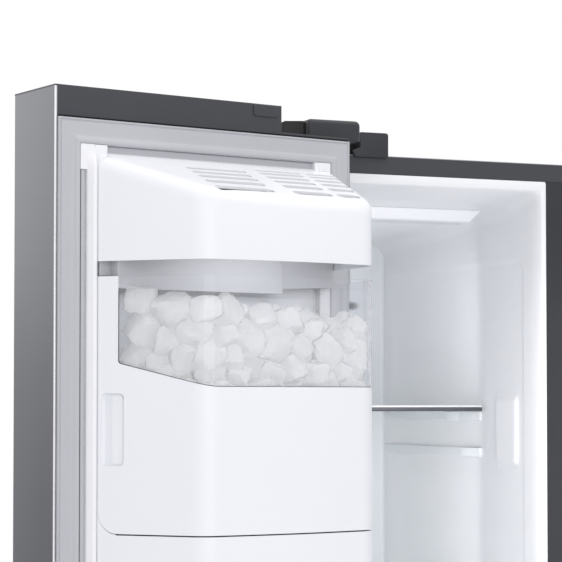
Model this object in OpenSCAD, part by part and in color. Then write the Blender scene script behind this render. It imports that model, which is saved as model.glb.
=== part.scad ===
// Side by side refrigerator with an ice maker and an ice bin on the freezer door.
// Frame: X across the cabinet, Y into it from its front plane, Z up from the floor.
// Door pieces are drawn in door coordinates: X from the hinge edge, Y from the inner
// face towards the cabinet (negative through the door), Z up, and then swung open.

/* [Cabinet] */
// Width over the cabinet sides
cab_w = 912; // [904:1:930]
// Depth of the cabinet without the doors
cab_d = 610; // [600:1:660]
// Height of the cabinet's top
cab_h = 1739; // [1720:1:1780]
// Thickness of the insulated side walls
side_wall = 36; // [34:1:44]
// Width of the dark plate on the front of the partition
mullion_w = 54.8; // [50:0.2:60]
// Width of the white lip around each opening
lip_w = 11.6; // [10:0.2:14]
// Height of the dark band above the openings
top_band_h = 23; // [20:1:28]
// Thickness of the vacuum formed liners
liner_t = 2; // [1.5:0.1:2.4]
// Thickness of the sheet steel panels
sheet_t = 1; // [0.8:0.1:1.2]

/* [Doors] */
// Width of the freezer door
freezer_door_w = 394; // [390:1:400]
// Thickness of a door from skin to inner face
door_t = 96; // [94:1:104]
// Gap between a door and the cabinet
door_gap = 10; // [10:0.5:12]
// Space between the two doors
door_space = 6; // [4:0.5:8]
// Height of the doors' lower edge
door_z0 = 45; // [44:1:50]
// Rise of the doors above the cabinet
door_rise = 36; // [34:1:40]
// Height of the top cap's face
cap_h = 35; // [32:1:36]
// Angle at which both doors stand open
open_angle = 167.6; // [120:0.2:168]
// Distance of the hinge pin from the door's hinge edge
pin_in = 19; // [18:0.5:20]
// Distance of the hinge pin from the door's inner face
pin_out = 48.2; // [47.8:0.1:49]
// Height of the gasket over the door's inner face
gasket_h = 8.5; // [7:0.1:8.5]

/* [Ice maker] */
// Furthest reach of the ice module from the door's inner face
module_reach = 133; // [124:1:134]
// Drop from the door's top to the seam under the ice bin
bin_drop = 487; // [483:1:491]
// Drop from the door's top to the window's lower edge
window_low_drop = 326; // [319:1:335]
// Drop from the door's top to the window's upper edge
window_high_drop = 207; // [201:1:215]
// Drop from the door's top to the ice maker cover's lower edge
cover_low_drop = 190.5; // [185:0.5:195]
// Drop from the door's top to the cover's front edge
cover_front_drop = 123; // [117:1:125]
// Drop from the door's top to the cover's back edge
cover_back_drop = 70; // [70:1:73]
// Wall thickness of the cover, the bin and the rear housing
moulding_t = 3; // [2.5:0.1:3.2]

/* [Dispenser] */
// Width of the dispenser recess
recess_w = 212; // [190:1:216]
// Drop from the door's top to the dispenser recess's ceiling
recess_drop = 596; // [593:1:615]
// Height of the dispenser recess
recess_h = 378; // [360:1:382]
// Depth of the dispenser recess
recess_d = 69; // [60:1:70]
// Radius of the water valve's inlet
inlet_r = 13.2; // [13:0.1:13.4]

/* [Storage] */
// Thickness of the glass shelves
shelf_t = 6; // [4:0.5:7]
// Wall thickness of drawers and door bins
tray_t = 2.5; // [2:0.1:3]
// Height of a drawer
drawer_h = 205; // [190:1:208]
// Height of a door bin
door_bin_h = 105; // [90:1:110]
// Depth of a door bin
door_bin_d = 106; // [90:1:108]

/* [Hidden] */
$fn = 40;

// Clearance between pieces that only touch or seat on each other
seat = 0.2;
// Running clearance of pins in bores
run = 0.3;

// Cabinet
half_w = cab_w / 2;
split_x = -half_w + freezer_door_w + door_space / 2;
freezer_x0 = -half_w + side_wall;
freezer_x1 = split_x - mullion_w / 2 - lip_w;
fridge_x0 = split_x + mullion_w / 2 + lip_w;
fridge_x1 = half_w - side_wall;
flange_w = side_wall - lip_w;
base_z = 40;
floor_z = 110;
lip_h = 13;
ceiling_z = cab_h - top_band_h - lip_h;
cavity_d = cab_d - 65;
machine_y = cab_d - 190;
machine_z = 302;
step_t = 41;
step_y = machine_y - step_t - liner_t - seat;
step_z = machine_z + step_t + liner_t + seat;
panel_y = cavity_d - 75;
front_t = 1.5;
// The ceiling drops quickly behind the lip and then falls gently to the back
brow_y = 68;
brow_drop = 11;
ceiling_fall = 0.066;
function ceiling_at(y) = y < brow_y ? ceiling_z - brow_drop * y / brow_y
    : ceiling_z - brow_drop - ceiling_fall * (y - brow_y);

// Doors
fridge_door_w = cab_w - freezer_door_w - door_space;
door_z1 = cab_h + door_rise;
cap_z = door_z1 - cap_h;
plug_z = cap_z - 28;
sill_z = door_z0 + 30;
fold_w = 3;
free_fold_w = 4;
door_liner_t = 3;
hinge_well_u = 100;
well_z = cap_z + 1.5;
pin_r = 6;
pin_y = -door_gap - pin_out;
gasket_in = 34;
gasket_free = 26;
ledge_low_h = 8;
dyke_h = 25;
dyke_u0 = 47;
dyke_t = 4;
dyke_free_h = 15;
dyke_free_t = 7;
dyke_free = 38;
grip_z1 = door_z1 - 615;
grip_z0 = grip_z1 - 400;
grip_d = 27;
grip_undercut = 15;
grip_w1 = -30;
grip_t = 2;

// Heights of the fittings that hang from the door's top
bin_z0 = door_z1 - bin_drop;
window_z0 = door_z1 - window_low_drop;
window_z1 = door_z1 - window_high_drop;
cover_z0 = door_z1 - cover_low_drop;
cover_front_z = door_z1 - cover_front_drop;
cover_back_z = door_z1 - cover_back_drop;
recess_z1 = door_z1 - recess_drop;
recess_z0 = recess_z1 - recess_h;
housing_z0 = bin_z0 - 288;

// Ice module: outline in door coordinates with a fillet radius at each corner
module_u0 = dyke_u0 + dyke_t + 1;
module_u1 = freezer_door_w - dyke_free - dyke_free_t - 0.5;
module_slant_u = freezer_door_w - 117;
module_crown_u = (module_u0 + module_slant_u) / 2;
module_side_u = module_u0 - 15;
module_side_w = ledge_low_h + 1.4;
module_side_lean = 19;
function module_outline() = [
    [module_u1, seat, 0],
    [module_u1, dyke_free_h + 0.5, 3],
    [module_slant_u, module_reach - 16, 40],
    [module_crown_u, module_reach, 500],
    [module_side_u + module_side_lean, module_reach - 4, 18],
    [module_side_u, module_side_w, 0],
    [module_u0, module_side_w, 0],
    [module_u0, seat, 0]];
rotor_u = module_u0 + 68;
rotor_w = 66;
outlet_u = rotor_u + 80;
chute_u0 = outlet_u - 35;
chute_u1 = outlet_u + 35;
tray_u0 = module_u0 + 48;
tray_u1 = module_u1 - 79.5;
tray_w = 62;
tray_z = cover_z0 + 43.5;
tray_half_w = 35;
tray_h = 26;
bucket_floor_z = bin_z0 + 53;

// Dispenser
recess_t = 3;
recess_u0 = (freezer_door_w - recess_w) / 2;
recess_u1 = recess_u0 + recess_w;
recess_back_w = -door_t + recess_d;
recess_out_u0 = recess_u0 - recess_t;
recess_out_u1 = recess_u1 + recess_t;
recess_out_z0 = recess_z0 - recess_t;
recess_out_z1 = recess_z1 + recess_t;
paddle_w = -58;
paddle_z = recess_z1 - 24;

// Storage
shelf_y0 = 150;
drawer_y0 = door_bin_d + 12;
top_shelf_z = ceiling_z - 282;
function spread(first, last, n) = [for (i = [0:n - 1]) first + i * (last - first) / (n - 1)];
freezer_shelf_z = spread(step_z + 474.8, top_shelf_z, 3);
fridge_shelf_z = spread(step_z + 264.8, top_shelf_z, 4);
first_bin_z = sill_z + 75;
freezer_bin_z = spread(first_bin_z, housing_z0 - 290, 3);
fridge_bin_z = spread(first_bin_z, door_z1 - 325, 5);
drawer_low_z = floor_z + 12;
drawer_high_z = step_z + 12;
drawer_side = 12;
ledge_w = 15;
ledge_h = 9;

// Machine compartment
foot_x = half_w - 22;
foot_y = 45;
rail_w = 36;
rail_x = half_w - 4 - rail_w;
rail_z = 10;
roller_r = 16;
roller_y = cab_d - 50;
axle_r = 4;
fan_r = 52;
evaporator_fan_x = (freezer_x0 + freezer_x1) / 2;
evaporator_fan_z = 930;
condenser_fan_x = -20;
condenser_fan_y = cab_d - 95;
condenser_fan_z = 140;
valve_x = -half_w + 76;
valve_z = 150;
gland_x = half_w - 136;
gland_z = 150;
gland_r = 4.5;

// ---- helpers ----

// A box between two opposite corners
module block(a, b) {
    translate(a) cube(b - a);
}

// A Y-Z outline drawn out along X
module x_prism(x0, x1, outline) {
    translate([x0, 0, 0]) rotate([90, 0, 90]) linear_extrude(x1 - x0) polygon(outline);
}

// An X-Z outline drawn out along Y
module y_prism(y0, y1, outline) {
    translate([0, y1, 0]) rotate([90, 0, 0]) linear_extrude(y1 - y0) polygon(outline);
}

// An X-Y outline drawn out along Z
module z_prism(z0, z1, outline) {
    translate([0, 0, z0]) linear_extrude(z1 - z0) polygon(outline);
}

// A flat frame with its opening inset by t, lying across Y
module y_frame(a, b, t_left, t_right, t_bottom, t_top) {
    difference() {
        block(a, b);
        block([a[0] + t_left, a[1] - 1, a[2] + t_bottom], [b[0] - t_right, b[1] + 1, b[2] - t_top]);
    }
}

// A box that is open at the top
module open_box(a, b, t) {
    difference() {
        block(a, b);
        block([a[0] + t, a[1] + t, a[2] + t], [b[0] - t, b[1] - t, b[2] + 1]);
    }
}

module x_rod(p, r, length) {
    translate(p) rotate([0, 90, 0]) cylinder(r = r, h = length);
}

module y_rod(p, r, length) {
    translate(p) rotate([-90, 0, 0]) cylinder(r = r, h = length);
}

// Outline with each corner [x, y, r] rounded by an arc of radius r
arc_steps = 8;
function unit(v) = v / norm(v);
function corner(a, b, c, r) =
    let (u = unit(a - b), v = unit(c - b), half = acos(u * v) / 2, reach = r / tan(half),
        centre = b + unit(u + v) * r / sin(half), from = b + u * reach - centre,
        to = b + v * reach - centre, start = atan2(from[1], from[0]),
        turn = (atan2(to[1], to[0]) - start + 540) % 360 - 180)
    [for (i = [0:arc_steps]) let (a = start + turn * i / arc_steps) centre + r * [cos(a), sin(a)]];
function rounded(p) = [for (i = [0:len(p) - 1])
    let (n = len(p), a = p[(i + n - 1) % n], b = p[i], c = p[(i + 1) % n])
    each (b[2] == 0 ? [[b[0], b[1]]] : corner([a[0], a[1]], [b[0], b[1]], [c[0], c[1]], b[2]))];

// The outline moved inwards by t, for outlines that run anticlockwise
function cross2(a, b) = a[0] * b[1] - a[1] * b[0];
function inset(p, t) = [for (i = [0:len(p) - 1])
    let (n = len(p), a = p[(i + n - 1) % n], b = p[i], c = p[(i + 1) % n],
        d = unit([b[0] - a[0], b[1] - a[1]]), e = unit([c[0] - b[0], c[1] - b[1]]),
        p1 = [b[0], b[1]] + t * [-d[1], d[0]], p2 = [b[0], b[1]] + t * [-e[1], e[0]],
        at = p1 + d * cross2(p2 - p1, e) / cross2(d, e))
    [at[0], at[1], b[2] == 0 ? 0 : max(b[2] - t, 1)]];

// Places the freezer door's pieces with the door open
module on_freezer_door() {
    translate([-half_w + pin_in, pin_y, 0]) rotate([0, 0, -open_angle])
        translate([-pin_in, pin_out, 0]) children();
}

// Places the fridge door's pieces with the door open
module on_fridge_door() {
    mirror([1, 0, 0]) on_freezer_door() children();
}

// Both hands of a piece that is drawn on the left
module both_sides() {
    children();
    mirror([1, 0, 0]) children();
}

// ---- cabinet ----

module outer_case() {
    color("#8e9094") {
        both_sides() block([-half_w, 0, base_z], [-half_w + sheet_t, cab_d - 2, cab_h]);
        block([-half_w + sheet_t + seat, 0, cab_h - sheet_t], [half_w - sheet_t - seat, cab_d - 2, cab_h]);
    }
}

// Slabs of foam between the case and the liners
module cabinet_foam() {
    skin = sheet_t + seat;
    back = liner_t + seat;
    front = front_t + liner_t + seat;
    rear_y = cavity_d + back;
    top = cab_h - skin;
    bottom = base_z + seat;
    walls = [[-half_w + skin, freezer_x0 - back], [freezer_x1 + back, fridge_x0 - back],
        [fridge_x1 + back, half_w - skin]];
    bays = [[freezer_x0 - liner_t, freezer_x1 + liner_t], [fridge_x0 - liner_t, fridge_x1 + liner_t]];
    color("#e6d9a8") {
        for (x = walls) {
            block([x[0], front, bottom], [x[1], machine_y - seat, top]);
            block([x[0], machine_y, machine_z], [x[1], rear_y, top]);
        }
        for (x = bays) {
            block([x[0], front, bottom], [x[1], machine_y - seat, floor_z - back]);
            block([x[0], step_y + back, floor_z - liner_t], [x[1], machine_y - seat, step_z - back]);
            block([x[0], machine_y, machine_z], [x[1], rear_y, step_z - back]);
            x_prism(x[0], x[1], [[front, ceiling_z + back], [brow_y, ceiling_at(brow_y) + back],
                [rear_y, ceiling_at(rear_y) + back], [rear_y, top], [front, top]]);
        }
        block([-half_w + skin, rear_y + seat, machine_z], [half_w - skin, cab_d - 2 - seat, top]);
    }
}

// One vacuum formed tub with its front lip
module liner(x0, x1, lip_x0, lip_x1) {
    t = liner_t;
    difference() {
        union() {
            block([lip_x0, 0, floor_z - lip_h], [lip_x1, t, ceiling_z + lip_h]);
            x_prism(x0 - t, x1 + t, [[0, floor_z - t], [step_y + t, floor_z - t],
                [step_y + t, step_z - t], [cavity_d + t, step_z - t],
                [cavity_d + t, ceiling_at(cavity_d) + t], [brow_y, ceiling_at(brow_y) + t],
                [0, ceiling_z + t]]);
        }
        x_prism(x0, x1, [[-1, floor_z], [step_y, floor_z], [step_y, step_z], [cavity_d, step_z],
            [cavity_d, ceiling_at(cavity_d)], [brow_y, ceiling_at(brow_y)], [-1, ceiling_z]]);
    }
}

module freezer_liner() {
    color("#f0f1f4") liner(freezer_x0, freezer_x1, -half_w + flange_w + seat,
        split_x - mullion_w / 2 - seat);
}

module fridge_liner() {
    color("#f0f1f4") liner(fridge_x0, fridge_x1, split_x + mullion_w / 2 + seat,
        half_w - flange_w - seat);
}

// Dark band above the openings, the rail below them and the strips beside them
module front_frame() {
    x = half_w - flange_w - seat;
    color("#4d4e53") {
        both_sides() block([-half_w + sheet_t + seat, 0, base_z],
            [-half_w + flange_w, front_t, cab_h - sheet_t - seat]);
        block([-x, 0, ceiling_z + lip_h + seat], [x, front_t, cab_h - sheet_t - seat]);
        block([-x, 0, base_z], [x, front_t, floor_z - lip_h - seat]);
    }
}

module mullion_plate() {
    color("#4d4e53") block([split_x - mullion_w / 2, 0, floor_z - lip_h],
        [split_x + mullion_w / 2, front_t, ceiling_z + lip_h]);
}

module back_panel() {
    color("#b9bcbf") block([-half_w, cab_d - 2, machine_z], [half_w, cab_d, cab_h]);
}

// Louvred plate behind the machine compartment
module machine_cover() {
    slot_w = 60;
    slot_h = 8;
    color("#6d6f73") difference() {
        block([-half_w, cab_d - 2, base_z + seat], [half_w, cab_d, machine_z - seat]);
        for (x = [-240:80:240], z = [70:24:262])
            block([x - slot_w / 2, cab_d - 3, z], [x + slot_w / 2, cab_d + 1, z + slot_h]);
        y_rod([valve_x, cab_d - 3, valve_z], inlet_r + 4, 4);
        y_rod([gland_x, cab_d - 3, gland_z], gland_r + 5.5, 4);
    }
}

// Channel rails, base plate, front cross member, foot bosses and roller axles
module base_frame() {
    t = 2.5;
    top = base_z - sheet_t * 2;
    color("#5c5e62") {
        block([-half_w + sheet_t, front_t + seat, top], [half_w - sheet_t, cab_d - 2 - seat, base_z]);
        difference() {
            block([-rail_x, 3, 14], [rail_x, 21, top]);
            block([-rail_x - 1, 3 + t, 13], [rail_x + 1, 21 - t, top - t]);
        }
        both_sides() {
            difference() {
                union() {
                    difference() {
                        block([-rail_x - rail_w, 0, rail_z], [-rail_x, cab_d - 6, top]);
                        block([-rail_x - rail_w + t, t, rail_z - 1], [-rail_x - t, cab_d, top - t]);
                    }
                    translate([-foot_x, foot_y, 20]) cylinder(r = 10, h = top - 20);
                }
                translate([-foot_x, foot_y, 0]) cylinder(r = pin_r + run, h = top - 2);
            }
            x_rod([-rail_x - rail_w + 1, roller_y, roller_r], axle_r, rail_w - 2);
        }
    }
}

module toe_grille() {
    slot_w = 52;
    slot_h = 4;
    width = 2 * rail_x - 60;
    color("#3f4044") difference() {
        block([-width / 2, 0, 0], [width / 2, 3 - seat, 37]);
        for (x = [-width / 2 + 46:60:width / 2 - 40], z = [12, 20, 28])
            block([x - slot_w / 2, -1, z], [x + slot_w / 2, 4, z + slot_h]);
    }
}

module levelling_feet() {
    color("#2f3033") both_sides() translate([-foot_x, foot_y, 0]) {
        cylinder(r = 20, h = 8);
        cylinder(r = pin_r, h = base_z - 6);
    }
}

module rear_roller(side) {
    width = rail_w - 2 * 2.5 - 4;
    color("#26272a") difference() {
        x_rod([side * (rail_x + rail_w / 2) - width / 2, roller_y, roller_r], roller_r, width);
        x_rod([side * (rail_x + rail_w / 2) - width, roller_y, roller_r], axle_r + run, 2 * width);
    }
}

module rear_roller_left() {
    rear_roller(-1);
}

module rear_roller_right() {
    rear_roller(1);
}

// Brackets and pins above and below both doors
module door_hinges() {
    x0 = -half_w + 2;
    x1 = -half_w + 38;
    pin_x = -half_w + pin_in;
    color("#a4a6aa") both_sides() {
        block([x0, pin_y - 12, door_z0 - 8], [x1, -seat, door_z0 - 3]);
        block([x0, -5, rail_z], [x1, -seat, door_z0 - 3]);
        translate([pin_x, pin_y, door_z0 - 4]) cylinder(r = pin_r, h = 22);
        block([x0 + 2, 8, cab_h + seat], [x1 + 24, 90, cab_h + 6]);
        block([x0 + 2, pin_y - 12, cab_h + 6], [x1, 90, cab_h + 10]);
        translate([pin_x, pin_y, cap_z - 20]) cylinder(r = pin_r, h = cab_h + 8 - cap_z + 20);
    }
}

// Mouldings that hide the top hinges
module hinge_covers() {
    t = 2.5;
    top = door_z1 - 8;
    over_x1 = -half_w + 72;
    over_y0 = pin_y - 20;
    block_x1 = -half_w + 141;
    block_y1 = 104;
    x0 = -half_w + 1;
    over_z = well_z + 1;
    cab_z = cab_h + seat;
    color("#4d4e53") both_sides() difference() {
        union() {
            block([x0, over_y0, over_z], [over_x1, 2, top]);
            block([x0, -2, cab_z], [block_x1, block_y1, top]);
        }
        block([x0 + t, over_y0 + t, over_z - 1], [over_x1 - t, 4, top - t]);
        block([x0 + t, -2 + t, cab_z - 1], [block_x1 - t, block_y1 - t, top - t]);
    }
}

// Ribs and ledges on the liner walls that carry the shelves and drawers
module shelf_rails() {
    rib = 6;
    rib_h = 12;
    bays = [[freezer_x0, freezer_x1, freezer_shelf_z], [fridge_x0, fridge_x1, fridge_shelf_z]];
    color("#eceef1") {
        for (b = bays, z = b[2]) {
            y1 = panel_y - 4;
            block([b[0] + seat, shelf_y0 + 12, z - rib_h - 2], [b[0] + rib, y1, z - seat]);
            block([b[1] - rib, shelf_y0 + 12, z - rib_h - 2], [b[1] - seat, y1, z - seat]);
        }
        for (b = bays, z = [drawer_low_z, drawer_high_z]) {
            y1 = (z == drawer_low_z ? step_y : panel_y) - 4;
            block([b[0] + seat, drawer_y0 + 10, z - ledge_h], [b[0] + drawer_side + ledge_w, y1, z - run]);
            block([b[1] - drawer_side - ledge_w, drawer_y0 + 10, z - ledge_h], [b[1] - seat, y1, z - run]);
        }
    }
}

// Air ducts on the back walls of both compartments
module duct_panels() {
    t = 3;
    vent_w = 60;
    vent_h = 10;
    duct_d = 26;
    duct_top = ceiling_at(cavity_d - duct_d) - 60;
    fridge_mid = (fridge_x0 + fridge_x1) / 2;
    duct_half = 130;
    low_vents = [step_z + 175, step_z + 355];
    high_vents = [ceiling_z - 443, ceiling_z - 373, ceiling_z - 203, ceiling_z - 133];
    color("#e9ebee") {
        difference() {
            block([freezer_x0 + seat, panel_y, step_z + seat],
                [freezer_x1 - seat, panel_y + t, ceiling_at(panel_y + t) - seat]);
            y_rod([evaporator_fan_x, panel_y - 1, evaporator_fan_z], fan_r + 4, t + 2);
            for (z = concat(low_vents, high_vents), x = [-90, 0, 90])
                block([evaporator_fan_x + x - vent_w / 2, panel_y - 1, z],
                    [evaporator_fan_x + x + vent_w / 2, panel_y + t + 1, z + vent_h]);
        }
        difference() {
            block([fridge_mid - duct_half, cavity_d - duct_d, step_z + seat],
                [fridge_mid + duct_half, cavity_d - seat, duct_top]);
            block([fridge_mid - duct_half + t, cavity_d - duct_d + t, step_z - 1],
                [fridge_mid + duct_half - t, cavity_d + 1, duct_top - t]);
            for (z = spread(step_z + 415, ceiling_z - 163, 4), x = [-70, 70])
                block([fridge_mid + x - vent_w / 2, cavity_d - duct_d - 1, z],
                    [fridge_mid + x + vent_w / 2, cavity_d - duct_d + t + 1, z + vent_h]);
        }
    }
}

// Sloped light lenses under the ceilings
module cabinet_lights() {
    lens_y0 = 130;
    lens_y1 = 164;
    drop = 9;
    color("#fafbff") for (b = [[freezer_x0, freezer_x1], [fridge_x0, fridge_x1]])
        x_prism(b[0] + 17, b[1] - 17, [[lens_y0, ceiling_at(lens_y0) - seat],
            [lens_y1, ceiling_at(lens_y1) - drop], [lens_y1 + 8, ceiling_at(lens_y1 + 8) - seat]]);
}

module shelf_glass() {
    color("#cfe3e2", 0.4) for (b = [[freezer_x0, freezer_x1, freezer_shelf_z],
            [fridge_x0, fridge_x1, fridge_shelf_z]], z = b[2])
        block([b[0] + 2, shelf_y0 + 8 + seat, z], [b[1] - 2, panel_y - 4, z + shelf_t]);
}

module shelf_trims() {
    color("#8f9095") for (b = [[freezer_x0, freezer_x1, freezer_shelf_z],
            [fridge_x0, fridge_x1, fridge_shelf_z]], z = b[2])
        block([b[0] + 2, shelf_y0, z], [b[1] - 2, shelf_y0 + 8, z + shelf_t + 1]);
}

// Drawer with a raised front and a finger lip
module drawer(x0, x1, y1, z) {
    color("#dfe7ec", 0.6) {
        open_box([x0, drawer_y0, z], [x1, y1, z + drawer_h], tray_t);
        block([x0, drawer_y0 - 8, z + drawer_h - 14], [x1, drawer_y0, z + drawer_h - 2]);
    }
}

module freezer_drawer_upper() {
    drawer(freezer_x0 + drawer_side, freezer_x1 - drawer_side, panel_y - 6, drawer_high_z);
}

module freezer_drawer_lower() {
    drawer(freezer_x0 + drawer_side, freezer_x1 - drawer_side, step_y - 4, drawer_low_z);
}

module crisper_upper() {
    drawer(fridge_x0 + drawer_side, fridge_x1 - drawer_side, panel_y - 6, drawer_high_z);
}

module crisper_lower() {
    drawer(fridge_x0 + drawer_side, fridge_x1 - drawer_side, step_y - 4, drawer_low_z);
}

// ---- cooling machinery ----

module compressor() {
    x = 150;
    y = machine_y + 92;
    color("#1f2023") {
        translate([x, y, base_z + 12]) rotate_extrude()
            polygon(rounded([[0, 0, 0], [66, 0, 10], [70, 92, 8], [56, 148, 22], [0, 156, 0]]));
        block([x - 88, y - 50, base_z + seat], [x + 88, y + 50, base_z + 12]);
    }
}

module condenser() {
    x0 = -300;
    x1 = -90;
    y0 = machine_y + 25;
    color("#2a2b2e") {
        for (x = [x0:14:x1])
            block([x, y0, 92], [x + 1.5, y0 + 130, 232]);
        for (i = [0:3], j = [0:3])
            x_rod([x0 - 8, y0 + 20 + 30 * i, 107 + 36 * j], 3.5, x1 - x0 + 16);
        for (x = [x0 - 8, x1 + 6])
            block([x, y0 - 6, base_z + seat], [x + 2, y0 + 136, 240]);
    }
}

module evaporator() {
    x0 = freezer_x0 + 24;
    x1 = freezer_x1 - 24;
    y0 = panel_y + 14;
    color("#b8bbbf") {
        for (x = [x0:12:x1])
            block([x, y0, 430], [x + 1, y0 + 46, 790]);
        for (i = [0, 1], j = [0:6])
            x_rod([x0 - 6, y0 + 12 + 22 * i, 450 + 52 * j], 4, x1 - x0 + 12);
        for (x = [x0 - 8, x1 + 6])
            block([x, y0 - 6, 380], [x + 2, cavity_d - seat, 800]);
    }
}

module drain_pan() {
    color("#3a3b3e") open_box([-292, machine_y + 14, base_z + seat], [-100, cab_d - 24, base_z + 34], 2);
}

// Fan motors and the rings that carry them
module fan_motors() {
    color("#2d2e31") {
        y_rod([evaporator_fan_x, panel_y + 30, evaporator_fan_z], 22, cavity_d - panel_y - 30 - seat);
        y_rod([evaporator_fan_x, panel_y + 22, evaporator_fan_z], 3, 10);
        x_rod([condenser_fan_x + 22, condenser_fan_y, condenser_fan_z], 22, 28);
        x_rod([condenser_fan_x + 14, condenser_fan_y, condenser_fan_z], 3, 10);
        block([condenser_fan_x + 26, condenser_fan_y - 12, base_z + seat],
            [condenser_fan_x + 46, condenser_fan_y + 12, condenser_fan_z - 14]);
    }
}

// Hub and pitched blades, drawn with the axis along Z
module fan_rotor() {
    difference() {
        union() {
            cylinder(r = 14, h = 16);
            for (a = [0:72:288])
                rotate([0, 0, a]) translate([12, 0, 8]) rotate([32, 0, 0])
                    translate([0, -11, -1]) cube([fan_r - 13, 22, 2]);
        }
        translate([0, 0, -1]) cylinder(r = 3 + run, h = 18);
    }
}

module evaporator_fan() {
    color("#e8eaed") translate([evaporator_fan_x, panel_y + 12, evaporator_fan_z])
        rotate([-90, 0, 0]) fan_rotor();
}

module condenser_fan() {
    color("#26272a") translate([condenser_fan_x, condenser_fan_y, condenser_fan_z])
        rotate([0, 90, 0]) fan_rotor();
}

// Control electronics with the mains cord's gland
module control_box() {
    color("#c9cbcd") {
        block([gland_x - 70, cab_d - 62, base_z + 22], [gland_x + 70, cab_d - 12, base_z + 202]);
        block([gland_x - 60, cab_d - 50, base_z + seat], [gland_x + 60, cab_d - 30, base_z + 22]);
        difference() {
            y_rod([gland_x, cab_d - 12, gland_z], gland_r + 5, 18);
            y_rod([gland_x, cab_d - 12 + 2, gland_z], gland_r, 20);
        }
    }
}

// Solenoid water valve with its inlet spigot
module water_valve() {
    color("#d8dadd") {
        block([valve_x - 24, cab_d - 70, valve_z - 22], [valve_x + 24, cab_d - 14, valve_z + 22]);
        block([valve_x - 16, cab_d - 60, base_z + seat], [valve_x + 16, cab_d - 24, valve_z - 22]);
        y_rod([valve_x, cab_d - 14, valve_z], inlet_r, 28);
    }
}

// ---- doors ----

// Steel skin folded around both edges, with the cuts for the grip and a recess
module door_skin(width, cut_u0, cut_u1) {
    t = sheet_t;
    difference() {
        z_prism(door_z0 + 2, door_z1 - 2, [[fold_w, 0], [0, 0], [0, -door_t], [width, -door_t],
            [width, 0], [width - free_fold_w, 0], [width - free_fold_w, -t], [width - t, -t],
            [width - t, -door_t + t], [t, -door_t + t], [t, -t], [fold_w, -t]]);
        block([width - grip_d, -door_t - 1, grip_z0], [width + 1, grip_w1, grip_z1]);
        block([-1, -door_t - 1, well_z], [hinge_well_u, 1, door_z1]);
        if (cut_u1 > cut_u0)
            block([cut_u0, -door_t - 1, recess_out_z0], [cut_u1, -door_t + 2, recess_out_z1]);
    }
}

// Plugs that close the skin's two ends, with the hinge bores
module door_caps(width) {
    t = sheet_t + seat;
    edge = fold_w + seat;
    free_edge = width - free_fold_w - seat;
    bore_r = pin_r + run;
    difference() {
        union() {
            block([t, -door_t + t, plug_z], [width - t, -door_liner_t - seat, cap_z]);
            block([t, -door_t + t, cap_z], [width - t, -t, door_z1 - 2 + seat]);
            block([edge, -t - 1, cap_z], [free_edge, 0, door_z1 - 2 + seat]);
            block([0.5, -door_t + 0.5, door_z1 - 2 + seat], [width - 0.5, 0, door_z1]);
            block([hinge_well_u + 4, -1, door_z1 - 17], [hinge_well_u + 38, 2, door_z1 - 1]);
        }
        block([-1, -door_t - 1, well_z], [hinge_well_u, 1, door_z1 + 1]);
        translate([pin_in, -pin_out, cap_z - 24]) cylinder(r = bore_r, h = 40);
    }
    difference() {
        block([t, -door_t + t, door_z0], [width - t, -t, sill_z]);
        translate([pin_in, -pin_out, door_z0 - 1]) cylinder(r = bore_r, h = 24);
    }
}

// White inner face with the raised dyke beside the storage space
module door_liner(width, hinge_dyke_z1) {
    top = cap_z - seat;
    inner_u1 = width - dyke_free - dyke_free_t;
    block([fold_w + seat, -door_liner_t, sill_z + seat], [width - free_fold_w - seat, 0, top]);
    y_frame([gasket_in, -1, sill_z + 18], [width - gasket_free, ledge_low_h, top - 28],
        dyke_u0 + dyke_t - gasket_in, width - gasket_free - inner_u1, 15, 5.4);
    block([dyke_u0, -1, floor_z + 5], [dyke_u0 + dyke_t, dyke_h, hinge_dyke_z1]);
    block([inner_u1, -1, floor_z + 5], [inner_u1 + dyke_free_t, dyke_free_h, ceiling_z - 8]);
    block([dyke_u0, -1, floor_z + 5], [inner_u1 + dyke_free_t, dyke_free_h, floor_z + 11]);
}

// Flat base and magnetic bulb of the gasket
module door_gasket(width) {
    top = cap_z - seat;
    base_h = gasket_h - 4;
    y_frame([fold_w + seat, seat, sill_z + seat], [width - free_fold_w - seat, base_h, top],
        gasket_in - fold_w - 2 * seat, gasket_free - free_fold_w - 2 * seat, 18 - 2 * seat,
        28 - 2 * seat);
    y_frame([8, base_h - 0.5, sill_z + 5], [width - 9, gasket_h, top - 5], 18, 14, 10, 18);
}

// Pocket at the free edge that serves as the handle, with an undercut for the fingers
module door_grip(width) {
    edge = sheet_t + seat;
    difference() {
        block([width - grip_d - grip_undercut - grip_t + seat, -door_t + edge, grip_z0 - grip_t],
            [width - edge, grip_w1 + grip_t - seat, grip_z1 + grip_t]);
        block([width - grip_d, -door_t - 1, grip_z0], [width + 1, grip_w1, grip_z1]);
        block([width - grip_d - grip_undercut, -door_t + 18, grip_z0], [width, grip_w1 - 8, grip_z1]);
    }
}

// Door bins: open boxes on the inner face
module door_bins(u0, u1, levels) {
    for (z = levels)
        open_box([u0, seat, z], [u1, door_bin_d, z + door_bin_h], tray_t);
}

module freezer_door_skin() {
    color("#8e8f93") on_freezer_door() door_skin(freezer_door_w, recess_out_u0, recess_out_u1);
}

module freezer_door_caps() {
    color("#4d4e53") on_freezer_door() door_caps(freezer_door_w);
}

module freezer_door_liner() {
    color("#eceef2") on_freezer_door() difference() {
        door_liner(freezer_door_w, housing_z0 - 4);
        block([chute_u0 - 2, -door_liner_t - 1, recess_out_z1], [chute_u1 + 2, 1, bin_z0 - 2]);
    }
}

module freezer_door_gasket() {
    color("#c3c4c8") on_freezer_door() door_gasket(freezer_door_w);
}

module freezer_door_grip() {
    color("#4d4e53") on_freezer_door() door_grip(freezer_door_w);
}

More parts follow.
